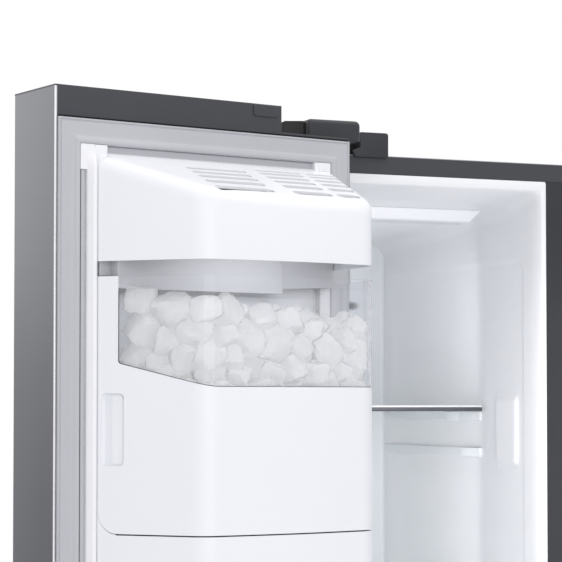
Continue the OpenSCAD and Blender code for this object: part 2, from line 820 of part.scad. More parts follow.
// Slabs of foam around the recess, the chute and the grip
module freezer_door_foam() {
    u0 = sheet_t + seat;
    u1 = freezer_door_w - sheet_t - seat;
    w0 = -door_t + sheet_t + seat;
    w1 = -door_liner_t - seat;
    grip_u = freezer_door_w - grip_d - grip_undercut - grip_t - seat;
    low = grip_z0 - grip_t - seat;
    high = grip_z1 + grip_t + seat;
    ice_z = bin_z0 + 2;
    left = recess_out_u0 - seat;
    right = recess_out_u1 + seat;
    color("#e6d9a8") on_freezer_door() {
        block([u0, w0, sill_z + seat], [u1, w1, low - seat]);
        block([u0, w0, low], [grip_u, w1, recess_out_z0 - seat]);
        block([u0, w0, recess_out_z0], [left, w1, ice_z - seat]);
        block([right, w0, recess_out_z0], [grip_u, w1, ice_z - seat]);
        block([recess_out_u0, recess_back_w + recess_t + seat, recess_out_z0],
            [recess_out_u1, w1, recess_out_z1 - seat]);
        block([recess_out_u0, w0, recess_out_z1 + seat], [chute_u0 - 4, w1, ice_z - seat]);
        block([chute_u1 + 4, w0, recess_out_z1 + seat], [recess_out_u1, w1, ice_z - seat]);
        block([grip_u + seat, grip_w1 + grip_t, low], [u1, w1, high]);
        block([grip_u + seat, w0, high + seat], [u1, w1, ice_z - seat]);
        block([u0, w0, ice_z], [u1, w1, plug_z - seat]);
    }
}

module freezer_door_bins() {
    color("#e4e9ee", 0.7) on_freezer_door()
        door_bins(module_u0 + 2, freezer_door_w - 69, freezer_bin_z);
}

module fridge_door_skin() {
    color("#8e8f93") on_fridge_door() door_skin(fridge_door_w, 0, 0);
}

module fridge_door_caps() {
    color("#4d4e53") on_fridge_door() door_caps(fridge_door_w);
}

module fridge_door_liner() {
    color("#eceef2") on_fridge_door() door_liner(fridge_door_w, ceiling_z - 8);
}

module fridge_door_gasket() {
    color("#c3c4c8") on_fridge_door() door_gasket(fridge_door_w);
}

module fridge_door_grip() {
    color("#4d4e53") on_fridge_door() door_grip(fridge_door_w);
}

module fridge_door_foam() {
    u0 = sheet_t + seat;
    u1 = fridge_door_w - sheet_t - seat;
    w0 = -door_t + sheet_t + seat;
    w1 = -door_liner_t - seat;
    grip_u = fridge_door_w - grip_d - grip_undercut - grip_t - seat;
    low = grip_z0 - grip_t - seat;
    high = grip_z1 + grip_t + seat;
    color("#e6d9a8") on_fridge_door() {
        block([u0, w0, sill_z + seat], [u1, w1, low - seat]);
        block([u0, w0, low], [grip_u, w1, high]);
        block([grip_u + seat, grip_w1 + grip_t, low], [u1, w1, high]);
        block([u0, w0, high + seat], [u1, w1, plug_z - seat]);
    }
}

module fridge_door_bins() {
    color("#e4e9ee", 0.7) on_fridge_door()
        door_bins(module_u0 + 2, fridge_door_w - 62, fridge_bin_z);
}

// ---- ice maker and ice bin ----

// Solid of the ice module's outline, moved inwards by t
module module_solid(z0, z1, t) {
    z_prism(z0, z1, rounded(inset(module_outline(), t)));
}

// Everything under a roof that slopes from the cover's back edge to its front edge
module under_roof(z0, drop) {
    slope = (cover_back_z - cover_front_z) / module_reach;
    x_prism(-10, freezer_door_w, [[-10, z0], [module_reach + 10, z0],
        [module_reach + 10, cover_front_z - slope * 10 - drop],
        [-10, cover_back_z + slope * 10 - drop]]);
}

// Rows of vent slots [distance from the door, height], and the shares of a row that its slots take
vent_rows = [[24, 4.5], [38, 5], [52, 5.5], [67, 6], [84, 7], [104, 7.5]];
vent_shares = [[0, 0.18], [0.23, 0.5], [0.59, 1]];
function vent_u(w, share) = let (side = module_side_u + w * module_side_lean / module_reach + 11)
    side + share * (module_slant_u - 25 - side);

module ice_maker_cover() {
    rib_u = tray_u1 + 1;
    color("#f3f4f8") on_freezer_door() {
        difference() {
            intersection() {
                module_solid(cover_z0, cover_back_z, 0);
                under_roof(cover_z0 - 1, 0);
            }
            intersection() {
                union() {
                    module_solid(cover_z0 - 1, cover_back_z, moulding_t);
                    block([module_u0 + moulding_t, -1, cover_z0 - 1],
                        [module_u1 - moulding_t, 4, cover_back_z]);
                }
                under_roof(cover_z0 - 2, moulding_t);
            }
            for (row = vent_rows, share = vent_shares)
                block([vent_u(row[0], share[0]), row[0], cover_front_z - 20],
                    [vent_u(row[0], share[1]), row[0] + row[1], cover_back_z]);
        }
        difference() {
            intersection() {
                block([rib_u, seat, tray_z - 14], [rib_u + 4, tray_w + 12, cover_back_z]);
                under_roof(cover_z0, 1);
            }
            x_rod([rib_u - 1, tray_w, tray_z], 4 + run, 6);
        }
    }
}

// Twisting tray with its moulds and pivots
module ice_tray() {
    rows = 6;
    pitch = (tray_u1 - tray_u0) / rows;
    color("#dde1e6") on_freezer_door() {
        difference() {
            block([tray_u0, tray_w - tray_half_w, tray_z - tray_h / 2],
                [tray_u1, tray_w + tray_half_w, tray_z + tray_h / 2]);
            for (i = [0:rows - 1], side = [-1, 0])
                block([tray_u0 + pitch * i + 2, tray_w + side * tray_half_w + 2, tray_z - tray_h / 2 + 2],
                    [tray_u0 + pitch * (i + 1) - 2, tray_w + (side + 1) * tray_half_w - 2,
                        tray_z + tray_h]);
        }
        x_rod([tray_u1 - 1, tray_w, tray_z], 4, 6);
        x_rod([tray_u0 - 9, tray_w, tray_z], 4, 10);
    }
}

// Gear motors of the tray and of the bin's rotor
module ice_drives() {
    top = cover_front_z - 4;
    color("#c8cbd0") on_freezer_door() {
        difference() {
            block([module_u0 + 6, seat, cover_z0 + 14], [tray_u0 - 4, 96, top]);
            x_rod([tray_u0 - 10, tray_w, tray_z], 4 + run, 8);
        }
        translate([rotor_u, rotor_w, bin_z0 - 62]) cylinder(r = 24, h = 62 - moulding_t - seat);
        translate([rotor_u, rotor_w, bin_z0 - 10]) cylinder(r = 5, h = 22);
        block([rotor_u - 30, seat, bin_z0 - 62], [rotor_u + 30, rotor_w, bin_z0 - 50]);
    }
}

// Outline of the window on the bin's front, seen along the door's thickness
window_u1 = module_u1 - 13.4;
function window_outline() = [[window_u1, window_z1 + 20, 0], [module_side_u - 10, window_z1 + 20, 0],
    [module_side_u - 10, window_z0, 0], [module_slant_u - 28, window_z0, 110],
    [window_u1, window_z0 + 31, 8]];

// The bin's wall: front and sides, open at the back, the top and the bottom
module bin_wall(z0, z1, outer, inner) {
    difference() {
        module_solid(z0, z1, outer);
        module_solid(z0 - 1, z1 + 1, inner);
        block([module_u0 + inner, -1, z0 - 1], [module_u1 - inner, 8, z1 + 1]);
    }
}

// White front panel with the ledge that carries the bucket
module ice_bin_front() {
    ledge_z = bucket_floor_z - seat;
    color("#f3f4f8") on_freezer_door() {
        difference() {
            bin_wall(bin_z0 + 2 * seat, window_z1, 0, moulding_t);
            y_prism(-1, module_reach + 10, rounded(window_outline()));
        }
        bin_wall(ledge_z - 3, ledge_z, moulding_t - 1, moulding_t + 7);
    }
}

module ice_window() {
    color("#dce6ea", 0.35) on_freezer_door() intersection() {
        bin_wall(window_z0 - 1, window_z1, 0, moulding_t - 0.5);
        y_prism(0, module_reach + 10, rounded(inset(window_outline(), seat)));
    }
}

// Inner bucket with its floor, the rotor's hole and the ice outlet
module ice_bucket() {
    gap = moulding_t + 1.5;
    back = 9;
    color("#e9ecf0", 0.8) on_freezer_door() {
        difference() {
            module_solid(bucket_floor_z, window_z0 - 4, gap);
            intersection() {
                module_solid(bucket_floor_z + 2, window_z0, gap + 2);
                block([0, back, bucket_floor_z], [freezer_door_w, module_reach, window_z0]);
            }
            translate([rotor_u, rotor_w, bucket_floor_z - 1]) cylinder(r = 7, h = 4);
            translate([outlet_u, rotor_w, bucket_floor_z - 1]) cylinder(r = 28, h = 4);
        }
        block([module_u0 + gap, seat, window_z0 - 4], [module_u1 - gap, back, window_z1 - 4]);
    }
}

// The heap of ice, as a plain solid
module ice_load() {
    floor = bucket_floor_z + 2 + run;
    color("#eef6fa", 0.6) on_freezer_door() difference() {
        intersection() {
            module_solid(floor, window_z0 + 100, moulding_t + 1.5 + 2 + run);
            block([0, 9 + run, floor], [freezer_door_w, module_reach, window_z1]);
        }
        translate([rotor_u, rotor_w, floor - 1]) cylinder(r = 41, h = 30);
    }
}

// Rotor that feeds the ice to the outlet
module ice_rotor() {
    color("#d5d8dc") on_freezer_door() translate([rotor_u, rotor_w, 0]) {
        translate([0, 0, bin_z0 + 13]) cylinder(r = 6, h = bucket_floor_z - bin_z0 - 10);
        translate([0, 0, bucket_floor_z + 2 + run]) cylinder(r = 14, h = 26);
        for (a = [0:90:270])
            rotate([0, 0, a]) translate([10, -2.5, bucket_floor_z + 2 + run]) cube([28, 5, 18]);
    }
}

// Housing under the bin, over the chute and the rotor's motor
module dispenser_housing() {
    low = housing_z0 + moulding_t;
    high = bin_z0 - moulding_t;
    color("#f3f4f8") on_freezer_door() difference() {
        module_solid(housing_z0, bin_z0, 0);
        module_solid(low, high, moulding_t);
        block([module_u0 + moulding_t, -1, low], [module_u1 - moulding_t, 8, high]);
        translate([rotor_u, rotor_w, bin_z0 - 4]) cylinder(r = 7, h = 6);
        translate([outlet_u, rotor_w, bin_z0 - 4]) cylinder(r = 28, h = 6);
    }
}

// Sloping duct from the bin's outlet to the dispenser
module ice_chute() {
    z0 = recess_out_z1 + seat;
    z1 = bin_z0 - moulding_t - seat;
    t = 2;
    color("#d9dce0") on_freezer_door() difference() {
        x_prism(chute_u0, chute_u1, [[-85, z0], [-45, z0], [98, z1], [34, z1]]);
        x_prism(chute_u0 + t, chute_u1 - t, [[-82, z0 - 1], [-49, z0 - 1], [93, z1 + 1], [39, z1 + 1]]);
    }
}

// Recess with its frame, the spout opening and the paddle's ears
module dispenser_recess() {
    frame = 14;
    color("#3c3d41") on_freezer_door() {
        difference() {
            union() {
                block([recess_out_u0 + seat, -door_t, recess_out_z0 + seat],
                    [recess_out_u1 - seat, recess_back_w + recess_t, recess_out_z1 - seat]);
                block([recess_u0 - frame, -door_t - 2, recess_z0 - frame],
                    [recess_u1 + frame, -door_t, recess_z1 + 90]);
            }
            block([recess_u0, -door_t - 3, recess_z0], [recess_u1, recess_back_w, recess_z1]);
            block([chute_u0 + 3, -81, recess_z1 - 1], [chute_u1 - 3, -50, recess_out_z1 + 1]);
        }
        for (u = [chute_u0 - 12, chute_u1 + 4])
            difference() {
                block([u, paddle_w - 6, paddle_z - 8], [u + 8, paddle_w + 6, recess_z1 + 1]);
                x_rod([u - 1, paddle_w, paddle_z], 3 + run, 10);
            }
    }
}

module dispenser_paddle() {
    u0 = chute_u0 - 10;
    u1 = chute_u1 + 10;
    mid = (u0 + u1) / 2;
    color("#55565a") on_freezer_door() {
        x_rod([u0, paddle_w, paddle_z], 3, u1 - u0);
        block([mid - 6, paddle_w - 2, paddle_z - 60], [mid + 6, paddle_w + 2, paddle_z]);
        block([mid - 28, paddle_w - 2, paddle_z - 130], [mid + 28, paddle_w + 2, paddle_z - 50]);
    }
}

module drip_tray() {
    z = recess_z0 + seat;
    color("#2c2d30") on_freezer_door() difference() {
        block([recess_u0 + 8, -door_t + 3, z], [recess_u1 - 8, recess_back_w - 2, z + 12]);
        for (i = [0:6], w = -door_t + 10 + 8 * i)
            block([recess_u0 + 18, w, z + 4], [recess_u1 - 18, w + 4, z + 13]);
    }
}

outer_case();
cabinet_foam();
freezer_liner();
fridge_liner();
front_frame();
mullion_plate();
back_panel();
machine_cover();
base_frame();
toe_grille();
levelling_feet();
door_hinges();
hinge_covers();
shelf_rails();
duct_panels();
cabinet_lights();
shelf_glass();
shelf_trims();
compressor();
condenser();
evaporator();
drain_pan();
control_box();
water_valve();
fan_motors();
evaporator_fan();
condenser_fan();
rear_roller_left();
rear_roller_right();
freezer_drawer_upper();
freezer_drawer_lower();
crisper_upper();
crisper_lower();
freezer_door_skin();
freezer_door_foam();
freezer_door_liner();
freezer_door_caps();
freezer_door_gasket();
freezer_door_grip();
freezer_door_bins();
ice_maker_cover();
ice_tray();
ice_drives();
ice_bin_front();
ice_window();
ice_bucket();
ice_load();
ice_rotor();
dispenser_housing();
ice_chute();
dispenser_recess();
dispenser_paddle();
drip_tray();
fridge_door_skin();
fridge_door_foam();
fridge_door_liner();
fridge_door_caps();
fridge_door_gasket();
fridge_door_grip();
fridge_door_bins();
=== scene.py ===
"""Looks of a side by side refrigerator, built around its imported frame.

Sizes are in millimetres and turn to metres when a piece is made. Row frame: X across the
cabinet, Y into it from its front plane, Z up from the floor. Door pieces use door
coordinates: X from the hinge edge, Y from the inner face towards the cabinet, Z up.
"""

import logging
import math
import random
from dataclasses import dataclass, field
from enum import Enum
from typing import Iterable, Optional, Sequence

import bmesh
import bpy
import numpy as np
from mathutils import Matrix, Vector, noise

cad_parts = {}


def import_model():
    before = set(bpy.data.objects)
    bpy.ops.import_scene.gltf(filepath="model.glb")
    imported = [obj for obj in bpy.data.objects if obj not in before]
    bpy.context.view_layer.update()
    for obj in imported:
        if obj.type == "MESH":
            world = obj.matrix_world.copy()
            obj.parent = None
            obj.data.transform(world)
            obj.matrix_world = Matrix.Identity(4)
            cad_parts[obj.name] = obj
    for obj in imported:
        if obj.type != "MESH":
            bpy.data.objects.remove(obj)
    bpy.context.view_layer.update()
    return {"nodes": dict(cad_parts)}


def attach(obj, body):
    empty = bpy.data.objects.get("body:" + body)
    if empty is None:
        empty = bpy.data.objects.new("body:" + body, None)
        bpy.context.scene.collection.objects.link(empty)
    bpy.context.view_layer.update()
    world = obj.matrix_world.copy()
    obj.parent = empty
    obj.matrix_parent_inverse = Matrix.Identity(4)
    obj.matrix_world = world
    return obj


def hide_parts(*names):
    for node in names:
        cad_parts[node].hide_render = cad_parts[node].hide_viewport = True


Point = Sequence[float]
Ring = list[Point]
Colour = tuple[float, float, float, float]

LOG = logging.getLogger("refrigerator")
MM = 0.001


# -------- materials


def linear(hex_colour: str) -> Colour:
    """Turns an sRGB hex colour to linear.

    Args:
        hex_colour: A colour such as "#a0b1c2".

    Returns:
        Linear red, green, blue and an alpha of 1.
    """
    raw = [int(hex_colour[i : i + 2], 16) / 255 for i in (1, 3, 5)]
    red, green, blue = (
        c / 12.92 if c <= 0.04045 else ((c + 0.055) / 1.055) ** 2.4 for c in raw
    )
    return (red, green, blue, 1.0)


def add_node(
    tree: bpy.types.NodeTree,
    kind: str,
    settings: Optional[dict[str | int, object]] = None,
    links: Optional[dict[str | int, bpy.types.NodeSocket]] = None,
) -> bpy.types.Node:
    """Adds one node with its settings and links.

    Args:
        tree: The node tree that gets the node.
        kind: The node's type name, such as "ShaderNodeTexNoise".
        settings: Attribute names, or input names or numbers, and their values.
        links: Input names or numbers, and the output sockets that feed them.

    Returns:
        The new node.
    """
    node = tree.nodes.new(kind)
    for key, value in (settings or {}).items():
        if isinstance(key, str) and hasattr(node, key):
            setattr(node, key, value)
        else:
            node.inputs[key].default_value = value
    for key, socket in (links or {}).items():
        tree.links.new(socket, node.inputs[key])
    return node


class Surface(Enum):
    """How a surface was made, which sets its fine texture."""

    MOULDED = "moulded"
    BRUSHED = "brushed"
    SPRAYED = "sprayed"
    ROLLED = "rolled"
    FOAMED = "foamed"
    FROSTED = "frosted"


# Brushing draws the grain out level across a sheet, rolling along its length
GRAIN_STRETCH = {Surface.BRUSHED: (0.02, 0.02, 1.0), Surface.ROLLED: (0.25, 1.0, 0.25)}
EVEN_GRAIN = (1.0, 1.0, 1.0)
# How far the roughness strays from its mean along the grain
ROUGHNESS_LOW, ROUGHNESS_HIGH = 0.85, 1.15


@dataclass(frozen=True)
class Finish:
    """One real material and the way its surface was made."""

    name: str
    colour: str
    shade: str
    surface: Surface
    roughness: float
    metallic: float = 0.0
    ior: float = 1.5
    coat: float = 0.0
    transmission: float = 0.0
    alpha: float = 1.0
    grain_mm: float = 1.0
    relief_mm: float = 0.02
    patch_mm: float = 120.0
    scatter: float = 0.0
    slot: str = ""

    def texture(
        self, tree: bpy.types.NodeTree, place: bpy.types.NodeSocket, size_mm: float,
        detail: float, roughness: float,
    ) -> bpy.types.Node:
        """Adds a noise of a real size.

        Args:
            tree: The material's nodes.
            place: The coordinates that the noise follows.
            size_mm: Width of its patches.
            detail: How many finer layers it has.
            roughness: How strong those layers are.

        Returns:
            The noise node.
        """
        return add_node(
            tree, "ShaderNodeTexNoise",
            {"Scale": 1000 / size_mm, "Detail": detail, "Roughness": roughness},
            {"Vector": place},
        )

    def grain(
        self, tree: bpy.types.NodeTree, place: bpy.types.NodeSocket
    ) -> bpy.types.NodeSocket:
        """Adds the fine grain, drawn out as the surface was made.

        Args:
            tree: The material's nodes.
            place: The object's coordinates.

        Returns:
            The grain's height from 0 to 1.
        """
        stretched = add_node(
            tree, "ShaderNodeMapping",
            {"Scale": GRAIN_STRETCH.get(self.surface, EVEN_GRAIN)}, {"Vector": place},
        )
        return self.texture(tree, stretched.outputs[0], self.grain_mm, 2.0, 0.6).outputs["Fac"]

    def drift(
        self, tree: bpy.types.NodeTree, place: bpy.types.NodeSocket,
        grain: bpy.types.NodeSocket,
    ) -> bpy.types.NodeSocket:
        """Adds the colour, which drifts between the shade and the full colour.

        Args:
            tree: The material's nodes.
            place: The object's coordinates.
            grain: The fine grain's height.

        Returns:
            The colour.
        """
        patches = self.texture(tree, place, self.patch_mm, 3.0, 0.55)
        both = add_node(
            tree, "ShaderNodeMix", {"data_type": "FLOAT", 0: 0.35},
            {2: patches.outputs["Fac"], 3: grain},
        )
        ramp = add_node(tree, "ShaderNodeValToRGB", None, {"Fac": both.outputs[0]})
        for stop, position, colour in zip(
            ramp.color_ramp.elements, (0.3, 0.65), (self.shade, self.colour)
        ):
            stop.position = position
            stop.color = linear(colour)
        return ramp.outputs["Color"]

    def build(self) -> bpy.types.Material:
        """Makes the node material.

        Returns:
            The material, with colour drift, fine relief and a roughness that varies.
        """
        made = bpy.data.materials.new(self.name)
        made.use_nodes = True
        tree = made.node_tree
        tree.nodes.clear()
        place = add_node(tree, "ShaderNodeTexCoord").outputs["Object"]
        grain = self.grain(tree, place)
        rough = add_node(
            tree, "ShaderNodeMapRange",
            {
                3: self.roughness * ROUGHNESS_LOW,
                4: min(1.0, self.roughness * ROUGHNESS_HIGH),
            },
            {0: grain},
        )
        bump = add_node(
            tree, "ShaderNodeBump", {"Strength": 0.6, "Distance": self.relief_mm * MM},
            {"Height": grain},
        )
        shader = add_node(
            tree,
            "ShaderNodeBsdfPrincipled",
            {
                "Metallic": self.metallic,
                "IOR": self.ior,
                "Coat Weight": self.coat,
                "Coat Roughness": 0.15,
                "Transmission Weight": self.transmission,
                "Alpha": self.alpha,
                "Subsurface Weight": self.scatter,
                "Subsurface Radius": (1.0, 1.0, 1.0),
                "Subsurface Scale": 0.01,
            },
            {
                "Base Color": self.drift(tree, place, grain),
                "Roughness": rough.outputs[0],
                "Normal": bump.outputs["Normal"],
            },
        )
        add_node(
            tree, "ShaderNodeOutputMaterial", None, {"Surface": shader.outputs["BSDF"]}
        )
        return made


# Grain sizes are those of the real surface. Brushed lines, spray and spark-eroded textures
# are finer than a millimetre and too fine to show, so they are drawn 0.8 to 2 mm wide.

# Brushed stainless sheet: fine level lines that spread the highlights sideways
STAINLESS = Finish(
    "brushed_stainless_steel", "#646569", "#5c5d61", Surface.BRUSHED, 0.36, 0.85,
    grain_mm=2.0, patch_mm=300, slot="door_steel",
)
# The sheet's folded edge: painted highlight, a bright steel that stands in for the light that
# the fold catches
FOLD_HIGHLIGHT = Finish(
    "painted_highlight_steel", "#dcdcdf", "#d2d2d6", Surface.BRUSHED, 0.3, 0.8,
    grain_mm=1.5, relief_mm=0.01, slot="door_steel",
)
# Matt black for pieces behind gaps: painted shade, standing in for the shadow deep in the gaps
SHADE_BLACK = Finish(
    "painted_shade_black", "#121214", "#0d0d0f", Surface.MOULDED, 0.9,
    grain_mm=1.2, relief_mm=0.05, slot="foot_black",
)
# Powder coated steel sheet of the case: even grey with a faint spray texture
CASE_PAINT = Finish(
    "grey_powder_coat", "#8f9196", "#898b90", Surface.SPRAYED, 0.45,
    grain_mm=1.6, relief_mm=0.03, slot="case_paint",
)
# Dark enamelled steel around the openings
DARK_ENAMEL = Finish(
    "dark_grey_enamel", "#3e3f44", "#3a3b40", Surface.SPRAYED, 0.45, ior=1.42,
    grain_mm=1.4, slot="dark_trim",
)
# The mullion's plate: the same paint, drawn darker
MULLION_ENAMEL = Finish(
    "mullion_enamel", "#2c2d31", "#28292d", Surface.SPRAYED, 0.45, ior=1.42,
    grain_mm=1.4, slot="dark_trim",
)
# Dark ABS mouldings: a satin spark-eroded texture
DARK_ABS = Finish(
    "dark_grey_abs", "#414247", "#3c3d42", Surface.MOULDED, 0.45,
    ior=1.42, grain_mm=0.9, slot="dark_plastic",
)
# The hinge covers: the same moulding with a coarser, deeper texture, drawn darker than the
# other dark mouldings to paint the shade on the covers
SHADED_HINGE_ABS = Finish(
    "shaded_textured_dark_abs", "#323338", "#2d2e33", Surface.MOULDED, 0.5,
    ior=1.42, grain_mm=1.1, relief_mm=0.03, slot="dark_plastic",
)
# Vacuum formed high impact polystyrene: glossy, very slightly wavy
LINER_HIPS = Finish(
    "white_polystyrene_liner", "#f1f1f4", "#ecedf0", Surface.MOULDED, 0.3,
    ior=1.59, grain_mm=30, relief_mm=0.08, patch_mm=400, slot="liner_white",
)
# Moulded white ABS of the ice maker and the bin
WHITE_ABS = Finish(
    "white_abs", "#f1f2f6", "#eeeff3", Surface.MOULDED, 0.36,
    ior=1.53, grain_mm=1.1, relief_mm=0.012, patch_mm=300, slot="module_white",
)
# Extruded soft PVC of the gasket: matt, a little waxy
GASKET_PVC = Finish(
    "light_grey_soft_pvc", "#bdbec3", "#b7b8bd", Surface.MOULDED, 0.55,
    ior=1.53, grain_mm=2.5, relief_mm=0.03, slot="gasket_grey",
)
# Clear styrene of the ice bin's window: colourless and glossy
CLEAR_STYRENE = Finish(
    "clear_polystyrene", "#fefeff", "#fbfcfe", Surface.MOULDED, 0.05,
    ior=1.35, transmission=1.0, grain_mm=40, slot="window_clear",
)
# Tinted styrene of the door bins and drawers: see-through, faintly blue
BIN_STYRENE = Finish(
    "tinted_clear_polystyrene", "#e6edf2", "#dee7ed", Surface.MOULDED, 0.08,
    alpha=0.34, grain_mm=40, relief_mm=0.03, slot="bin_clear",
)
# Toughened glass of the shelves: clear, with a faint green cast
SHELF_GLASS = Finish(
    "toughened_glass", "#e4f0ee", "#dcebe8", Surface.MOULDED, 0.03,
    transmission=0.95, grain_mm=60, relief_mm=0.01, slot="shelf_glass",
)
# Anodised aluminium strip on the shelf edges: a dark satin with level lines
SHELF_ALUMINIUM = Finish(
    "anodised_aluminium", "#68696e", "#5f6065", Surface.BRUSHED, 0.38, 0.9,
    grain_mm=0.8, relief_mm=0.01, slot="shelf_trim",
)
# Frozen water: cloudy with trapped air, wet and glossy outside
CLOUDY_ICE = Finish(
    "cloudy_ice", "#ffffff", "#f4f6fa", Surface.FROSTED, 0.08,
    ior=1.31, alpha=0.5, grain_mm=5, relief_mm=2.8, patch_mm=9,
    scatter=0.4, slot="ice",
)
FINISHES: dict[str, Finish] = {
    # Hot dipped zinc on the back sheet: soft spangles a few millimetres wide
    "zinc": Finish(
        "galvanised_steel", "#bfc2c4", "#aeb1b4", Surface.ROLLED, 0.45, 0.8,
        grain_mm=9, relief_mm=0.03, patch_mm=60, slot="galvanised",
    ),
    # Paint on the base frame's rolled steel: dull, a little uneven
    "frame": Finish(
        "black_frame_paint", "#626468", "#57595d", Surface.SPRAYED, 0.5,
        grain_mm=1.5, relief_mm=0.03, slot="frame_steel",
    ),
    # Injection moulded polypropylene: a satin dark grey. It also makes dark strips that paint
    # shadow lines: in the door's groove, in the grip and around the ice window
    "grille": Finish(
        "dark_polypropylene", "#46474b", "#3f4044", Surface.MOULDED, 0.5,
        relief_mm=0.03, slot="grille_dark",
    ),
    # The ice maker's lower frame: a light grey ABS, drawn darker than the cover's to paint the
    # shade under the cover
    "deck": Finish(
        "shaded_pale_grey_abs", "#c5c6cb", "#bcbdc2", Surface.MOULDED, 0.4,
        grain_mm=0.9, slot="drive_grey",
    ),
    # Moulded nylon feet: almost black, with a soft sheen
    "foot": Finish(
        "black_nylon", "#38393c", "#303134", Surface.MOULDED, 0.55,
        grain_mm=1.2, relief_mm=0.03, slot="foot_black",
    ),
    # Plated hinge leaves: bright, with rolling marks
    "hinge": Finish(
        "zinc_plated_steel", "#b4b6ba", "#a5a7ab", Surface.ROLLED, 0.35, 0.9,
        grain_mm=5, slot="hinge_steel",
    ),
    # Ribs drawn into the liner: a shade greyer than the walls
    "rail": Finish(
        "white_liner_rib", "#e9ebef", "#e3e5e9", Surface.MOULDED, 0.35,
        grain_mm=1.5, relief_mm=0.015, slot="rail_white",
    ),
    # Formed polystyrene panels over the air ducts: a slightly greyer, duller white
    "duct": Finish(
        "white_duct_polystyrene", "#e8eaee", "#e1e3e7", Surface.MOULDED, 0.35,
        grain_mm=1.5, relief_mm=0.015, slot="duct_white",
    ),
    # Opal acrylic over the lamps: milky and even
    "lens": Finish(
        "opal_acrylic", "#fbfcff", "#f6f7fb", Surface.MOULDED, 0.25,
        grain_mm=3, relief_mm=0.01, slot="lens",
    ),
    # Baked enamel on the compressor's shell: glossy black over rough steel
    "compressor": Finish(
        "black_compressor_enamel", "#2f3033", "#28292c", Surface.SPRAYED, 0.3,
        coat=0.3, grain_mm=2, relief_mm=0.05, slot="compressor_black",
    ),
    # Dipped paint on the condenser's wire: thick and satin
    "coil": Finish(
        "black_coil_paint", "#353639", "#2c2d30", Surface.SPRAYED, 0.45,
        grain_mm=1.5, relief_mm=0.03, slot="coil_black",
    ),
    # Bare aluminium fins: pale, with fine rolling lines
    "fins": Finish(
        "mill_aluminium", "#c0c3c7", "#b0b3b7", Surface.ROLLED, 0.4, 0.85,
        grain_mm=3, slot="coil_aluminium",
    ),
    # Formed drain pan: satin black plastic
    "pan": Finish(
        "black_drain_pan", "#3e3f42", "#37383b", Surface.MOULDED, 0.45,
        grain_mm=2, relief_mm=0.03, slot="pan_plastic",
    ),
    # Moulded control box: an even light grey
    "box": Finish(
        "grey_control_box", "#c9cbcd", "#c0c2c4", Surface.MOULDED, 0.45,
        grain_mm=1.5, slot="box_grey",
    ),
    # Glass filled nylon of the water valve: dull light grey
    "valve": Finish(
        "grey_valve_nylon", "#d3d5d8", "#cacccf", Surface.MOULDED, 0.45,
        grain_mm=1.5, slot="valve_plastic",
    ),
    # Sprayed motor cans: satin black. Also the dark plate under the ice maker's vents, which
    # paints the shade seen through them
    "motor": Finish(
        "black_motor_can", "#313235", "#2a2b2e", Surface.SPRAYED, 0.4,
        grain_mm=1.5, slot="motor_black",
    ),
    # Moulded white fan blades: thin and satin
    "white_fan": Finish(
        "white_fan_polypropylene", "#e6e8eb", "#dddfe2", Surface.MOULDED, 0.4,
        grain_mm=1.5, slot="fan_white",
    ),
    # Moulded black fan blades: thin and satin
    "black_fan": Finish(
        "black_fan_polypropylene", "#2b2c2f", "#242528", Surface.MOULDED, 0.4,
        grain_mm=1.5, slot="fan_black",
    ),
    # Nylon rollers: black, worn matt
    "roller": Finish(
        "black_roller_nylon", "#2a2b2e", "#242528", Surface.MOULDED, 0.5,
        grain_mm=1.5, slot="roller_nylon",
    ),
    # Blown foam in the walls: matt yellow with open cells
    "foam": Finish(
        "polyurethane_foam", "#ead9a0", "#d9c78b", Surface.FOAMED, 0.9,
        grain_mm=4, relief_mm=0.6, slot="foam",
    ),
    # Flexible polypropylene of the ice tray: pale, waxy grey
    "tray": Finish(
        "grey_tray_polypropylene", "#d8dbe0", "#cfd2d7", Surface.MOULDED, 0.4,
        grain_mm=1.5, slot="tray_grey",
    ),
    # Moulded drive housings of the ice maker: light grey ABS
    "drive": Finish(
        "grey_drive_housing", "#c9ccd1", "#c1c4c9", Surface.MOULDED, 0.42,
        grain_mm=1.5, slot="drive_grey",
    ),
    # Moulded bucket inside the bin: white, a little waxy
    "bucket": Finish(
        "white_bucket_polypropylene", "#eceef2", "#e4e6ea", Surface.MOULDED, 0.4,
        grain_mm=1.8, slot="bucket_white",
    ),
    # Polished mould of the dispenser's recess: dark and glossy
    "recess": Finish(
        "dark_gloss_abs", "#3d3e42", "#37383c", Surface.MOULDED, 0.22,
        coat=0.2, grain_mm=1.2, relief_mm=0.008, slot="recess_dark",
    ),
}
_made: dict[str, bpy.types.Material] = {}


def material(finish: Finish) -> bpy.types.Material:
    """Makes a finish's material once and hands out the same one after that.

    Args:
        finish: The finish that is asked for.

    Returns:
        Its material.
    """
    if finish.name not in _made:
        _made[finish.name] = finish.build()
    return _made[finish.name]


# -------- mesh tools


def arc_corner(before: Point, at: Point, after: Point, radius: float, steps: int) -> Ring:
    """Rounds one corner of a flat outline.

    Args:
        before: The outline's point before the corner.
        at: The corner.
        after: The outline's point after the corner.
        radius: The arc's radius.
        steps: How many straight pieces make the arc.

    Returns:
        The arc's points, or the corner itself where the radius is 0.
    """
    if radius <= 0:
        return [tuple(at[:2])]
    here = Vector(at[:2])
    one = (Vector(before[:2]) - here).normalized()
    two = (Vector(after[:2]) - here).normalized()
    half = one.angle(two) / 2
    reach = radius / math.tan(half)
    centre = here + (one + two).normalized() * radius / math.sin(half)
    start = here + one * reach - centre
    end = here + two * reach - centre
    first = math.atan2(start.y, start.x)
    turn = (math.atan2(end.y, end.x) - first + 3 * math.pi) % math.tau - math.pi
    return [
        (
            centre.x + radius * math.cos(first + turn * i / steps),
            centre.y + radius * math.sin(first + turn * i / steps),
        )
        for i in range(steps + 1)
    ]


